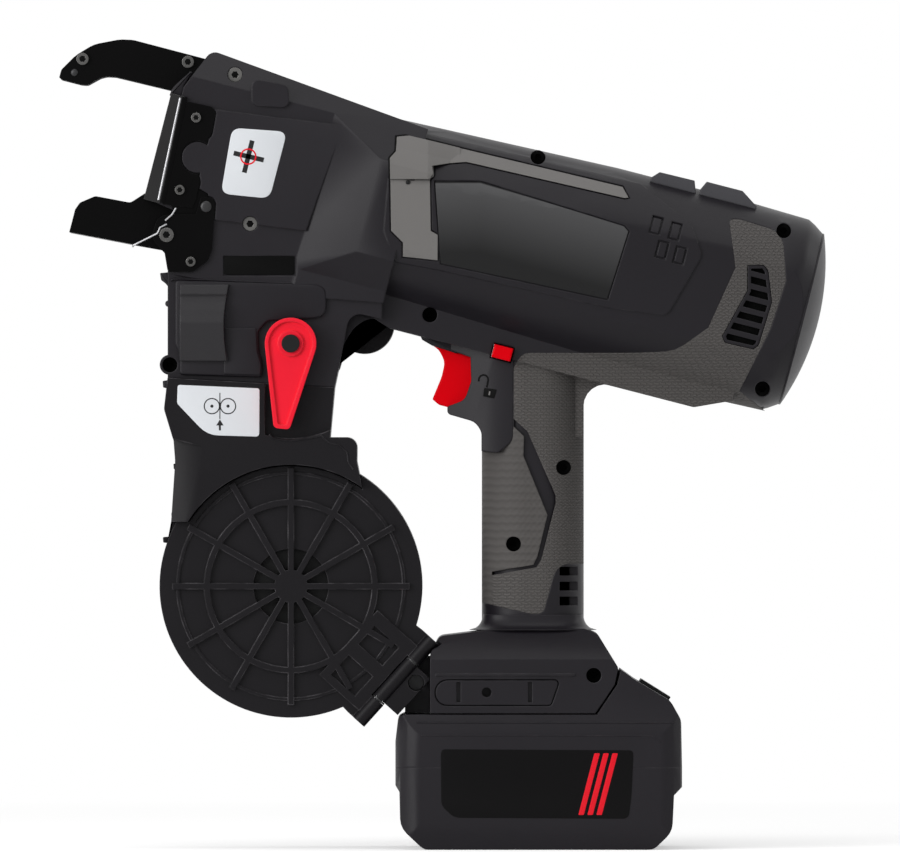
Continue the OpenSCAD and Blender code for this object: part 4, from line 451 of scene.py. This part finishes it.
def plate(name, outline, depth, edge, place, material, body, right=False):
    """A plate: its outline's wall rises, then a quarter circle carries it over the edge to a flat face.

    On the right side the same faces run the other way round."""
    outline = turning_left(np.asarray(outline))
    turn = np.linspace(0, math.pi / 2, 4)
    inset = np.concatenate([[0], edge * (1 - np.cos(turn))]) * MM
    height = np.concatenate([[-0.3], depth - edge + edge * np.sin(turn)]) * MM
    rings = outline[None] + inset[:, None, None] * sideways(outline)[None]
    points = place(rings[..., 0], rings[..., 1], height[:, None])
    rows, columns = rings.shape[:2]
    face = list(range((rows - 1) * columns, rows * columns))
    back = list(range(columns - 1, -1, -1))
    faces = tiles(rows, columns, ring=True) + [face, back]
    return add_piece(name, points, [quad[::-1] for quad in faces] if right else faces, material, body)


def pillow(name, left, right, crown, base, material, body):
    """A bulged pad on the left side: a grid from a left to a right edge, both listed upward.

    Each row has its crown. The edges grow a little to all sides, and there the grid falls to the base."""
    def grown(edge):
        edge = np.asarray(edge, float)
        low, high = 1.06 * edge[:1] - 0.06 * edge[1:2], 1.06 * edge[-1:] - 0.06 * edge[-2:-1]
        return np.concatenate([low, edge, high])

    across = np.concatenate([[-0.02], np.linspace(0, 1, 9), [1.02]])[None, :, None]
    flat = grown(left)[:, None] * (1 - across) + grown(right)[:, None] * across
    out = np.full(flat.shape[:2], float(base))
    out[1:-1, 1:-1] = np.asarray(crown, float)[:, None]
    points = np.stack([flat[..., 0], -out * MM, flat[..., 1]], -1)
    number = np.arange(out.size).reshape(out.shape)
    rim = np.concatenate([number[0], number[1:, -1], number[-1, -2::-1], number[-2:0:-1, 0]])
    return add_piece(name, points, tiles(*out.shape) + [rim[::-1].tolist()], material, body)


def line_outline(path, width):
    """The closed outline of a drawn line: its path moved to both sides by half its width."""
    p = np.asarray(path, float)
    run = np.gradient(p, axis=0)
    run /= np.linalg.norm(run, axis=1, keepdims=True)
    side = np.stack([-run[:, 1], run[:, 0]], -1) * width * MM / 2
    return np.concatenate([p + side, (p - side)[::-1]])


def circle(centre, radius, steps=48, start=0.0, sweep=360.0):
    """Points round a centre, in metres."""
    a = np.radians(start + sweep * np.arange(steps) / (steps if sweep == 360 else steps - 1))
    return np.asarray(centre) + radius * np.stack([np.cos(a), np.sin(a)], -1)


def round_bar(name, path, thick, sides, material, body):
    """A round wire: circles carried along a path in space, each square to the path's run."""
    path = np.asarray(path, float)
    run = np.gradient(path, axis=0)
    run /= np.linalg.norm(run, axis=1, keepdims=True)
    side = np.cross(run, (0.0, 1.0, 0.0))
    side /= np.linalg.norm(side, axis=1, keepdims=True)
    other = np.cross(run, side)
    a = 2 * math.pi * np.arange(sides)[None, :, None] / sides
    points = path[:, None] + thick / 2 * (np.cos(a) * side[:, None] + np.sin(a) * other[:, None])
    rows = len(path)
    first, last = list(range(sides - 1, -1, -1)), list(range((rows - 1) * sides, rows * sides))
    return add_piece(name, points, tiles(rows, sides, ring=True) + [first, last], material, body)


def turned(name, centre, profile, steps, material, body):
    """A turned piece: a profile of (radius, distance out to the left) spun about an axis across the tool."""
    r, out = np.array(profile).T[..., None] * MM
    a = 2 * math.pi * np.arange(steps)[None] / steps
    x, z = np.asarray(centre)[:, None, None]
    points = np.stack(np.broadcast_arrays(x + r * np.cos(a), -out + 0 * a, z + r * np.sin(a)), -1)
    rows = len(profile)
    first, last = list(range(steps - 1, -1, -1)), list(range((rows - 1) * steps, rows * steps))
    return add_piece(name, points, tiles(rows, steps, ring=True) + [first, last], material, body)


# Wire on the reel, and the lower jaw's spring

coil_low, coil_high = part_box("wire_coil")
reel_axis = np.array([(coil_low.x + coil_high.x) / 2, (coil_low.z + coil_high.z) / 2])
coil_radius = (coil_high.x - coil_low.x) / 2
WIRE = 0.95 * MM


def wound_wire():
    """The outer layer of tie wire: a helix along the reel's width, as round wire beside round wire."""
    turns = int((coil_high.y - coil_low.y) / (WIRE * 1.02)) - 1
    t = np.linspace(0, turns, turns * 44 + 1)
    a = 2 * math.pi * t
    middle = coil_radius - WIRE / 2
    y = coil_low.y + WIRE * (0.55 + 1.02 * t)
    path = np.stack([reel_axis[0] + middle * np.cos(a), y, reel_axis[1] + middle * np.sin(a)], -1)
    return round_bar("wound_wire", path, WIRE, 6, tie_wire, "reel")


def wire_layers():
    """The layers below: a closed ring whose outer face is rippled by the turns under the wound layer."""
    wave = np.linspace(0, 1, 121)
    outer = coil_radius - 0.8 * WIRE + 0.12 * WIRE * np.cos(wave * 2 * math.pi * 30)
    y = coil_high.y + (coil_low.y - coil_high.y) * wave
    bore = 24.7 * MM
    r = np.concatenate([[bore], outer, [bore]])[:, None]
    y = np.concatenate([[coil_high.y], y, [coil_low.y]])[:, None]
    a = 2 * math.pi * np.arange(48)[None] / 48
    x, z = reel_axis[0] + r * np.cos(a), reel_axis[1] + r * np.sin(a)
    points = np.stack(np.broadcast_arrays(x, y + 0 * a, z), -1)
    return add_piece("wire_layers", points, tiles(len(r), 48, ring=True, loop=True), tie_wire, "reel")


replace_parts(wound_wire(), "wire_coil")
wire_layers()


def jaw_spring():
    """The jaw's torsion spring: a leg, four turns round the pin and a second leg, in the barrel's tilt."""
    radius, pitch, leg = 4.3, 2.24, 10.665
    a = np.linspace(0, 4 * 2 * math.pi, 4 * 32 + 1)
    turns = np.stack([radius * np.sin(a), pitch * a / (2 * math.pi), -radius * np.cos(a)], -1)
    near = turns[:1] + np.linspace(-leg, -0.5, 8)[:, None] * (1, 0, 0)
    far = turns[-1:] + np.linspace(0.5, 0.9 * leg, 8)[:, None] * (1, 0, 0)
    u, y, v = (np.concatenate([near, turns, far]) * MM).T
    c, s = math.cos(BARREL_TILT), math.sin(BARREL_TILT)
    path = np.stack([-0.15489 + u * c + v * s, y - 15.9 * MM, 0.25478 + v * c - u * s], -1)
    return round_bar("wound_spring", path, 1.6 * MM, 12, bright_steel, "housing")


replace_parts(jaw_spring(), "jaw_spring")


# Stickers, labels and signs

nose_face = on_flat(-29.7)
plate("nose_sticker", softened(seen((232.4, 128.2), (287.3, 132.2), (269.9, 199), (221.2, 194)), 4),
      0.2, 0.1, nose_face, sticker_white, "housing")
sign_face = on_flat(-29.9)
crossed = (seen((252.5, 141), (248.5, 157), (244.5, 173)), seen((234, 153.5), (249, 157), (264, 160.5)))
for k, bar in enumerate(crossed):
    plate("tie_sign_bar_%d" % k, line_outline(bar, 2.0), 0.06, 0.03, sign_face, sticker_ink, "housing")
ring = circle(seen((248.5, 157))[0], 7.5 * PIXEL, 49, 90, 359.0)
plate("tie_sign_ring", line_outline(ring, 0.6), 0.1, 0.03, sign_face, label_red, "housing")
serial = np.array([(-131.1, 238.2), (-101.8, 238.2), (-101.8, 246.2), (-131.1, 246.2)]) * MM
plate("serial_plate", softened(serial, 1.2), 0.4, 0.15, on_flat(-27.5), sign_ink_and_painted_shade, "housing")

cover_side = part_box("magazine_cover")[0].y / MM
loading = seen((178.2, 384.9), (259.9, 388.5), (259.6, 436.7), (213, 435.3), (203, 430.3), (177.5, 403.5))
plate("loading_sticker", softened(loading, (1.0, 1.0, 1.6, 2.5, 2.5, 1.0)), 0.2, 0.1, on_flat(cover_side),
      sticker_white, "housing")


def drawn(name, outline):
    """One inked shape of the loading sticker's drawing: a thin plate on its face."""
    return plate("loading_" + name, outline, 0.06, 0.03, on_flat(cover_side - 0.2), sticker_ink, "housing")


for side, spot in (("front", (212.3, 406.2)), ("rear", (228.4, 406.2))):
    centre = seen(spot)[0]
    drawn("roller_" + side, line_outline(circle(centre, 7.6 * PIXEL, 49, 90, 359.0), 0.45))
    drawn("hub_" + side, circle(centre, 1.6 * PIXEL, 16))
drawn("wire", line_outline(seen((220.3, 393), (220.3, 406), (220.3, 419)), 0.4))
drawn("arrow", seen((220.3, 419.5), (216.6, 425.5), (219.3, 425.5), (219.3, 430.5), (221.3, 430.5),
                    (221.3, 425.5), (224, 425.5)))

label = seen((440.8, 748.5), (633, 749.5), (631, 794.7), (628, 817.8), (454.3, 816.8), (441.2, 804.7))
plate("battery_label", softened(label, (2, 2, 2, 2.5, 2.5, 2.5)), 0.25, 0.12, on_flat(BATTERY_SIDE),
      label_black, "battery")
label_face = on_flat(BATTERY_SIDE - 0.25)
for k in range(3):
    left = 596 - 9 * k
    stripe = seen((left, 814), (left + 5.5, 814), (left + 21.5, 752.5), (left + 16, 752.5))
    plate("label_stripe_%d" % k, softened(stripe, 0.4), 0.05, 0.02, label_face, label_red, "battery")


def bezel_side(x, z, height):
    """Places on the switch bezel's left side, which slants out to the rear and then runs straight."""
    out = 12.96 * MM + 0.4355 * np.clip(x + 28.54 * MM, 0, 9.92 * MM)
    return np.stack(np.broadcast_arrays(x, -out - height, z), -1)


shackle = seen((478.6, 381.4), (478.9, 378.4), (480.6, 375.9), (483.2, 374.8), (486, 375.6), (487.8, 377.6),
               (488.2, 380.2), (486.8, 387.4))
plate("open_shackle", line_outline(shackle, 0.75), 0.12, 0.05, bezel_side, sign_ink_and_painted_shade, "housing")
lock_case = softened(seen((484.2, 387.9), (496.6, 389.6), (494.2, 398.6), (483.1, 396.4)), 0.5)
plate("padlock_body", lock_case, 0.3, 0.08, bezel_side, sign_ink_and_painted_shade, "housing")
keyhole = seen((489, 391.2), (490.6, 391.5), (490, 395.4), (488.4, 395.1))
plate("padlock_keyhole", keyhole, 0.36, 0.02, bezel_side, trim_grey, "housing")


# Painted shade: near-black screens and seals behind the openings and in gaps, where the inside would lie in
# shade

vent = np.array([(0.755, 0.376), (0.815, 0.42), (0.836, 0.37), (0.878, 0.08), (0.87, -0.37), (0.855, -0.42),
                 (0.745, -0.43), (0.73, -0.37), (0.778, 0.13)]) * (BARREL_REAR, BARREL_RADIUS)
screen = softened(on_barrel(vent), 1.5)
# Painted shade: a black screen behind each vent's slats.
for side, out in SIDES:
    plate("vent_shade_screen_" + side, screen, 0.6, 0.2, on_flat(33.1 * out, out), painted_shade_black, "housing", out > 0)


def lock_gap_shade():
    """A black lip round the lock button's passage, painted shade in its gap: a rectangular ring in the
    barrel's tilt, across the tool.
    """
    low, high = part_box("lock_button")
    middle = np.array([(low.x + high.x) / 2, (low.z + high.z) / 2])
    inner, outer = np.array([4.09, 2.81]), np.array([4.56, 3.28])
    corner = np.array([(-1, -1), (1, -1), (1, 1), (-1, 1)])
    c, s = math.cos(BARREL_TILT), math.sin(BARREL_TILT)
    size = np.stack([inner, outer, outer, inner])[:, None] * corner[None] * MM
    x, z = middle[0] + size[..., 0] * c + size[..., 1] * s, middle[1] + size[..., 1] * c - size[..., 0] * s
    y = np.array([4.0, 4.0, -4.0, -4.0])[:, None] * MM
    points = np.stack(np.broadcast_arrays(x, y, z), -1)
    return add_piece("lock_gap_shade", points, tiles(4, 4, ring=True, loop=True), painted_shade_black, "housing")


lock_gap_shade()

edge_line = seen((180.6, 98.4), (158.8, 200.4))
strip = np.linspace(0, 1, 12)[:, None] * (edge_line[1] - edge_line[0]) + edge_line[0]
round_bar("contact_edge", np.stack([strip[:, 0], np.full(12, -29.9 * MM), strip[:, 1]], -1), 1.1 * MM, 12,
          motor_steel, "housing")


# Small forms of the nose and the feeder

def hex_lobe(spot, radius):
    """A driver socket's outline: a circle whose radius swells six times."""
    a = np.radians(5.0 * np.arange(72))
    swell = radius * MM * (1 + 0.12 * np.cos(6 * a))
    return np.array(spot) * MM + swell[:, None] * np.stack([np.cos(a), np.sin(a)], -1)


# Painted shade in the driver sockets: thin dark discs; each socket's x, z, depth and radius in millimetres
SOCKET_SHADES = {
    "plate_low": (-149.33, 273.37, SCREW_FACE, 1.05),
    "bracket": (-144.8, 243.62, SCREW_FACE, 1.05),
    "plate_top": (-142.58, 303.32, SCREW_FACE, 1.05),
    "jaw_front": (-190.06, 328.11, -10.8, 1.2),
    "jaw_rear": (-146.24, 326.85, -10.8, 1.2),
    "pivot": (-154.89, 254.78, SCREW_FACE, 1.35),
    "nose_top": (-126.54, 321.27, -22.32, 1.35),
    "nose_low": (-120.23, 259.36, -26.8, 1.35),
}
# Painted shade: a thin near-black disc in each socket.
for label, (x, z, y, radius) in SOCKET_SHADES.items():
    plate("socket_" + label, hex_lobe((x, z), radius), 0.03, 0.02, on_flat(y), sign_ink_and_painted_shade, "housing")

lip = softened(seen((192.6, 72.6), (190.6, 71.8), (175.2, 85.5), (171.8, 89.8), (169.6, 96), (186, 98),
                    (184.2, 87.4)), 0.5)
for side, out in SIDES:
    plate("nose_lip_" + side, lip, 7.5, 0.6, on_flat(19.0 * out, out), black_plastic, "housing", out > 0)
shim = softened(seen((170, 203), (198.5, 189), (208.5, 194), (209, 204), (200, 214.5), (176, 216)), 1.0)
plate("bracket_shim", shim, 1.2, 0.2, on_flat(NOSE_SIDE), painted_steel, "housing")
edge = seen((182.6, 97.2), (188, 97.6), (165, 203.4), (160.8, 202.2))
plate("plate_edge", edge, 0.15, 0.05, on_flat(PLATE_SIDE), painted_steel, "housing")
rivet = [(2.3, 29.8), (2.3, 30.4), (2.0, 30.7), (1.2, 30.85), (0.3, 30.85)]
turned("bracket_rivet", seen((206.4, 206.9))[0], rivet, 28, black_oxide, "housing")


def spring_leg(name, spots, depths, body):
    """A leg of the jaw's spring on the left side: a round wire through photograph points at given depths."""
    corner = np.concatenate([seen(*spots), np.array(depths)[:, None] * MM], 1)[:, (0, 2, 1)]
    t = np.linspace(0, len(corner) - 1, 8 * len(corner))
    path = np.stack([np.interp(t, np.arange(len(corner)), part) for part in corner.T], -1)
    return round_bar(name, path, 0.85 * MM, 10, motor_steel, body)


spring_leg("spring_front_leg", ((133.2, 246.6), (133.6, 245.6), (158, 233.6), (160.4, 228), (167.3, 224.4)),
           (-26.0, -28.2, -30.55, -30.6, -30.6), "lower_jaw")
spring_leg("spring_rear_leg", ((165.6, 220.9), (172.6, 214.7), (176.3, 208.4)), (-30.7, -30.6, -30.4),
           "housing")

face = seen((175.5, 280.3), (319, 284.8), (325.4, 289), (326.5, 300), (326, 311), (322, 316.5), (312, 318.8),
            (268, 321), (258.5, 331.5), (259.5, 352), (263.5, 364.8), (262.5, 377.5), (180, 375), (180, 352),
            (175.5, 345))
plate("feeder_face", softened(face, 1.6), 2.3, 0.7, on_flat(FEEDER_SIDE), black_plastic, "housing")
ledge = softened(seen((224, 328), (256.5, 328), (257.8, 352), (261.8, 365), (261, 375.5), (224, 374.5)), 0.6)
plate("feeder_ledge", ledge, 0.5, 0.35, on_flat(-29.3), black_plastic, "housing")
rise = np.linspace(0, 1, 51)
top, foot = seen((180.6, 284.8), (180.2, 361))
pad_left = foot + rise[:, None] * (top - foot)
bow = np.interp(rise, (0, 1), (-129.9, -129.1)) - 1.6 * np.sin(math.pi * rise)
pad_right = np.stack([bow, pad_left[:, 1] / MM], -1) * MM
crown = np.interp(rise, (0, 0.14, 0.35, 0.5, 0.58, 0.66, 0.74, 0.8, 0.84, 0.88, 1),
                  (31.9, 33.5, 35.0, 35.4, 34.9, 34.0, 32.9, 32.1, 32.0, 32.9, 31.4))
pillow("feeder_bulge", pad_left, pad_right, crown, 28.9, feeder_black_lit_copy, "housing")

nubs = {"top": seen((160.2, 273.2), (169, 272.4), (173, 276), (173, 290), (170.2, 288.8), (165.5, 283.5),
                    (161.3, 280.3)),
        "low": seen((162.8, 381), (169.5, 380), (169.5, 389), (163.3, 387.6))}
for label, nub in nubs.items():
    plate("seam_nub_" + label, softened(nub, 0.5), 12.0, 0.5, on_flat(-14.0), black_plastic, "housing")
turned("seam_nub_mid", seen((168.6, 303.8))[0], [(1.35, 14.0), (1.35, 25.4), (1.0, 26.0), (0.3, 26.2)], 20,
       black_plastic, "housing")

fillet = seen((330, 302), (392, 316), (394, 328.5), (384, 324.6), (375, 322), (366, 323.4), (356, 331),
              (348.5, 343), (343.5, 356), (339, 372), (330, 372))
plate("neck_fillet", softened(fillet, 2.0), 23.4, 1.5, on_flat(4.0), black_plastic, "housing")
hood = softened(seen((419.8, 334.2), (421.9, 339.5), (432.5, 345.6), (445, 349.7), (457, 353.6), (457, 346),
                     (440, 338), (425, 334.2)), 0.5)
for side, out in SIDES:
    plate("trigger_hood_" + side, hood, 1.6, 0.3, on_flat(8.0 * out, out), black_plastic, "housing", out > 0)

hinge = np.array([-59.9, -27.4, 70.02]) * MM
along_hinge = np.array([math.sin(math.radians(42)), 0, math.cos(math.radians(42))]) * MM
for side, start in (("low", -10.92), ("high", 10.24)):
    path = hinge + np.linspace(start, start + 0.68, 3)[:, None] * along_hinge
    round_bar("hinge_washer_" + side, path, 6.2 * MM, 28, black_oxide, "housing")
# Painted shade: a black strip over the gap and lit edge between the hinge bracket and the foot.
bracket_gap = seen((427.5, 656), (427.5, 713), (433, 713), (433, 656))
plate("bracket_gap_shade", bracket_gap, 8.0, 0.1, on_flat(-12.0), painted_shade_black, "housing")

shoulder = seen((171.4, 512), (171.7, 519), (168.4, 537), (167, 545), (177, 538), (188, 522), (190, 512))
plate("case_shoulder", softened(shoulder, 0.8), 16.0, 0.8, on_flat(-9.0), magazine_black_painted_shade, "housing")
for label, (left, top) in (("high", (173.4, 463.8)), ("low", (162.9, 537.2))):
    nub = seen((left, top), (left + 6, top - 0.5), (left + 6, top + 6), (left + 0.4, top + 5.4))
    plate("case_nub_" + label, softened(nub, 0.4), 10.0, 0.4, on_flat(-12.0), magazine_black_painted_shade, "housing")


def bead(name, spots, y, thick, material, body):
    """A raised line: a round bar along photograph points, half sunk in a face at a depth."""
    corner = seen(*spots)
    t = np.linspace(0, len(corner) - 1, 6 * len(corner))
    x, z = (np.interp(t, np.arange(len(corner)), part) for part in corner.T)
    return round_bar(name, np.stack([x, np.full(len(t), y * MM), z], -1), thick * MM, 10, material, body)


bead("cover_bead", ((269.5, 434.5), (273.5, 438.5), (290, 441), (309, 438.6), (322, 435.6), (328.6, 442.4),
                    (339.8, 445.4), (347.4, 452.4), (348.6, 462.4), (353.2, 469)),
     -32.18, 0.9, magazine_black_painted_shade, "housing")
bead("feeder_rim", ((171, 281), (173.4, 279), (200, 279.8), (240, 281.4), (318, 284.6), (324, 286.4),
                    (327.4, 290)), NOSE_SIDE, 0.9, black_plastic, "housing")
bead("battery_ledge_high", ((417, 721.8), (540, 722.1), (674, 722.4)), -35.55, 0.8, black_plastic, "battery")
bead("battery_ledge_low", ((421, 734.9), (530, 734.9), (651.4, 735.2), (660, 741.2)), -37.35, 0.7,
     black_plastic, "battery")


def grip_flare():
    """The fillet at the grip's foot: rounded rectangles that widen downward, as a quarter circle does."""
    t = np.linspace(1, 0, 10)[:, None]
    a = 2 * math.pi * np.arange(96)[None] / 96
    grow = 5.5 * (1 - np.sqrt(1 - t ** 2))
    x = -2.8 + (20.95 + grow) * np.sign(np.cos(a)) * np.abs(np.cos(a)) ** 0.55
    y = (18.1 + grow) * np.sign(np.sin(a)) * np.abs(np.sin(a)) ** 0.55
    points = np.stack(np.broadcast_arrays(x, y, 97.2 - 6.4 * t + 0 * a), -1) * MM
    low, high = list(range(95, -1, -1)), list(range(9 * 96, 10 * 96))
    return add_piece("grip_flare", points, tiles(10, 96, ring=True) + [low, high], black_plastic, "housing")


grip_flare()

# Painted shade: a near-black strip filling a narrow gap at the foot, across the tool.
foot_gap = seen((605.6, 697), (613.4, 685.4), (617.2, 670.2), (619.2, 670.4), (615.5, 686.3), (607.7, 697.9))
plate("foot_gap_shade", foot_gap, 40.0, 0.1, on_flat(20.0), painted_shade_black, "housing")


def over_neck(x, z, height):
    """Places 2.5 mm inside the barrel: a circle about its axis, held to a flat and raised at its top.

    To the rear of the neck the places fall by 4 mm, under the grey trim."""
    c, s = math.cos(BARREL_TILT), math.sin(BARREL_TILT)
    v = (z - BARREL_Z) * c + x * s
    out = np.minimum(np.sqrt((BARREL_RADIUS * MM) ** 2 - v ** 2), BARREL_FLAT * MM)
    out = out + 0.3 * np.maximum(v - 27 * MM, 0)
    fall = 4 * MM * np.clip((x + 46.5 * MM) / (12.5 * MM), 0, 1)
    return np.stack(np.broadcast_arrays(x, 2.5 * MM + fall - out - height, z), -1)


def dense(corners, step):
    """A closed outline with points at most a step apart along its edges."""
    p = np.concatenate([corners, corners[:1]])
    along = np.concatenate([[0], np.cumsum(np.linalg.norm(np.diff(p, axis=0), axis=1))])
    t = np.linspace(0, along[-1], int(along[-1] / step), endpoint=False)
    return np.stack([np.interp(t, along, part) for part in p.T], -1)


corner_in = seen((390.4, 179.8), (429.6, 179.8), (433.2, 174.5), (432.2, 166.6), (460, 162), (460, 148),
                 (409.3, 135.9), (397, 137.2), (396.2, 151.9), (390, 158.8))
corner_out = seen((388.8, 179.8), (429.6, 179.8), (433.2, 174.5), (432.2, 166.6), (455, 162.5), (455, 145.4),
                  (409.3, 134.2), (395.2, 135.6), (394.5, 151.1), (388.4, 157.9))
CORNER_RINGS = 24
for name, outline, depth, material in (("trim_corner_seam", corner_out, 3.75, sign_ink_and_painted_shade),
                                       ("trim_corner", corner_in, 4.0, trim_grey)):
    rung = dense(outline, 0.4 * MM)
    middle = outline.mean(0)
    rings = middle + np.linspace(1.0, 0.02, CORNER_RINGS)[:, None, None] * (turning_left(rung) - middle)
    wall = np.concatenate([rings[:1], rings])
    height = np.concatenate([[-0.5], np.full(CORNER_RINGS, depth)])[:, None] * MM
    columns = len(rung)
    top, back = CORNER_RINGS * columns + np.arange(columns), np.arange(columns)[::-1]
    faces = tiles(CORNER_RINGS + 1, columns, ring=True) + [top.tolist(), back.tolist()]
    add_piece(name, over_neck(wall[..., 0], wall[..., 1], height), faces, material, "housing")

trim_pin = seen((408, 183))[0]
turned("trim_pin", trim_pin, [(0.9, 37.6), (0.9, 38.2), (0.8, 38.35), (0.5, 38.45), (0.2, 38.5)], 20,
       dark_plastic, "housing")
jaw_side = -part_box("upper_jaw_plates")[0].y / MM
tip_pin = [(1.5, jaw_side - 0.5), (1.5, jaw_side + 0.25), (1.3, jaw_side + 0.45), (0.8, jaw_side + 0.6),
           (0.3, jaw_side + 0.65)]
turned("jaw_tip_pin", seen((73.9, 72))[0], tip_pin, 24, black_oxide, "housing")


# Stage, light and camera

TOOL_MIDDLE = (-0.04, 0, 0.18)


def area_light(name, place, size, power):
    """A soft rectangular lamp that faces the tool's middle."""
    lamp = bpy.data.lights.new(name, "AREA")
    lamp.shape = "RECTANGLE"
    lamp.size, lamp.size_y = size
    lamp.energy = power
    way = np.subtract(TOOL_MIDDLE, place)
    holder = bpy.data.objects.new(name, lamp)
    holder.location = place
    tilt = math.acos(-way[2] / np.linalg.norm(way))
    holder.rotation_euler = (tilt, 0, math.atan2(way[1], way[0]) - math.pi / 2)
    scene.collection.objects.link(holder)


area_light("front_softbox", (-0.6, -1.3, 0.8), (0.6, 0.6), 2)
area_light("left_softbox", (-1.0, -0.85, 0.4), (0.7, 1.0), 12.5)
area_light("top_softbox", (0.0, -0.3, 1.4), (1.0, 1.0), 4.5)
area_light("rear_strip", (1.1, 0.3, 0.7), (0.3, 0.9), 2.4)

scene.world = bpy.data.worlds.new("studio")
scene.world.use_nodes = True
sky = scene.world.node_tree
sky.nodes.clear()
rays = put(sky, "ShaderNodeLightPath").outputs
shown = maths(sky, "MAXIMUM", maths(sky, "MAXIMUM", rays["Is Camera Ray"], rays["Is Transmission Ray"]),
              rays["Is Glossy Ray"])
strength = ramp(sky, shown, 0.0, 1.0, 0.42, 1.0)
glow = put(sky, "ShaderNodeBackground", {"Strength": strength}, Color=(1, 1, 1, 1))
put(sky, "ShaderNodeOutputWorld", {"Surface": glow.outputs[0]})

floor_mesh = bpy.data.meshes.new("floor")
reach = 12.0
floor_mesh.from_pydata([(-reach, -reach, 0), (reach, -reach, 0), (reach, reach, 0), (-reach, reach, 0)], [],
                       [(0, 1, 2, 3)])
floor = bpy.data.objects.new("floor", floor_mesh)
scene.collection.objects.link(floor)
pale_floor, floor_tree, floor_shader = new_tree("pale_floor")
floor_shader.inputs["Roughness"].default_value = 0.9
floor_shader.inputs["Specular IOR Level"].default_value = 0.0
spot = put(floor_tree, "ShaderNodeTexCoord").outputs["Object"]
distance = put(floor_tree, "ShaderNodeVectorMath", {0: spot}, operation="LENGTH").outputs["Value"]
far = ramp(floor_tree, distance, 0.25, 0.9)
tone = mixed(floor_tree, far, (0.9, 0.9, 0.9), (0.0, 0.0, 0.0))
floor_tree.links.new(tone, floor_shader.inputs["Base Color"])
floor_rays = put(floor_tree, "ShaderNodeLightPath").outputs
watched = maths(floor_tree, "MAXIMUM", floor_rays["Is Camera Ray"], floor_rays["Is Glossy Ray"])
floor_shader.inputs["Emission Color"].default_value = (1, 1, 1, 1)
floor_tree.links.new(maths(floor_tree, "MULTIPLY", watched, ramp(floor_tree, far, 0.0, 1.0, 0.35, 1.0)),
                     floor_shader.inputs["Emission Strength"])
floor.data.materials.append(pale_floor)

VIEW_DISTANCE = 7.0
SENSOR = 36.0
camera_data = bpy.data.cameras.new("camera")
camera = bpy.data.objects.new("camera", camera_data)
scene.collection.objects.link(camera)
scene.camera = camera
camera.location = (-0.03735, -VIEW_DISTANCE - 0.02, 0.1747)
camera.rotation_euler = (math.pi / 2, 0, 0)
camera_data.sensor_width = SENSOR
camera_data.lens = SENSOR * VIEW_DISTANCE / (PHOTO_WIDTH * PIXEL)
camera_data.clip_end = 100.0
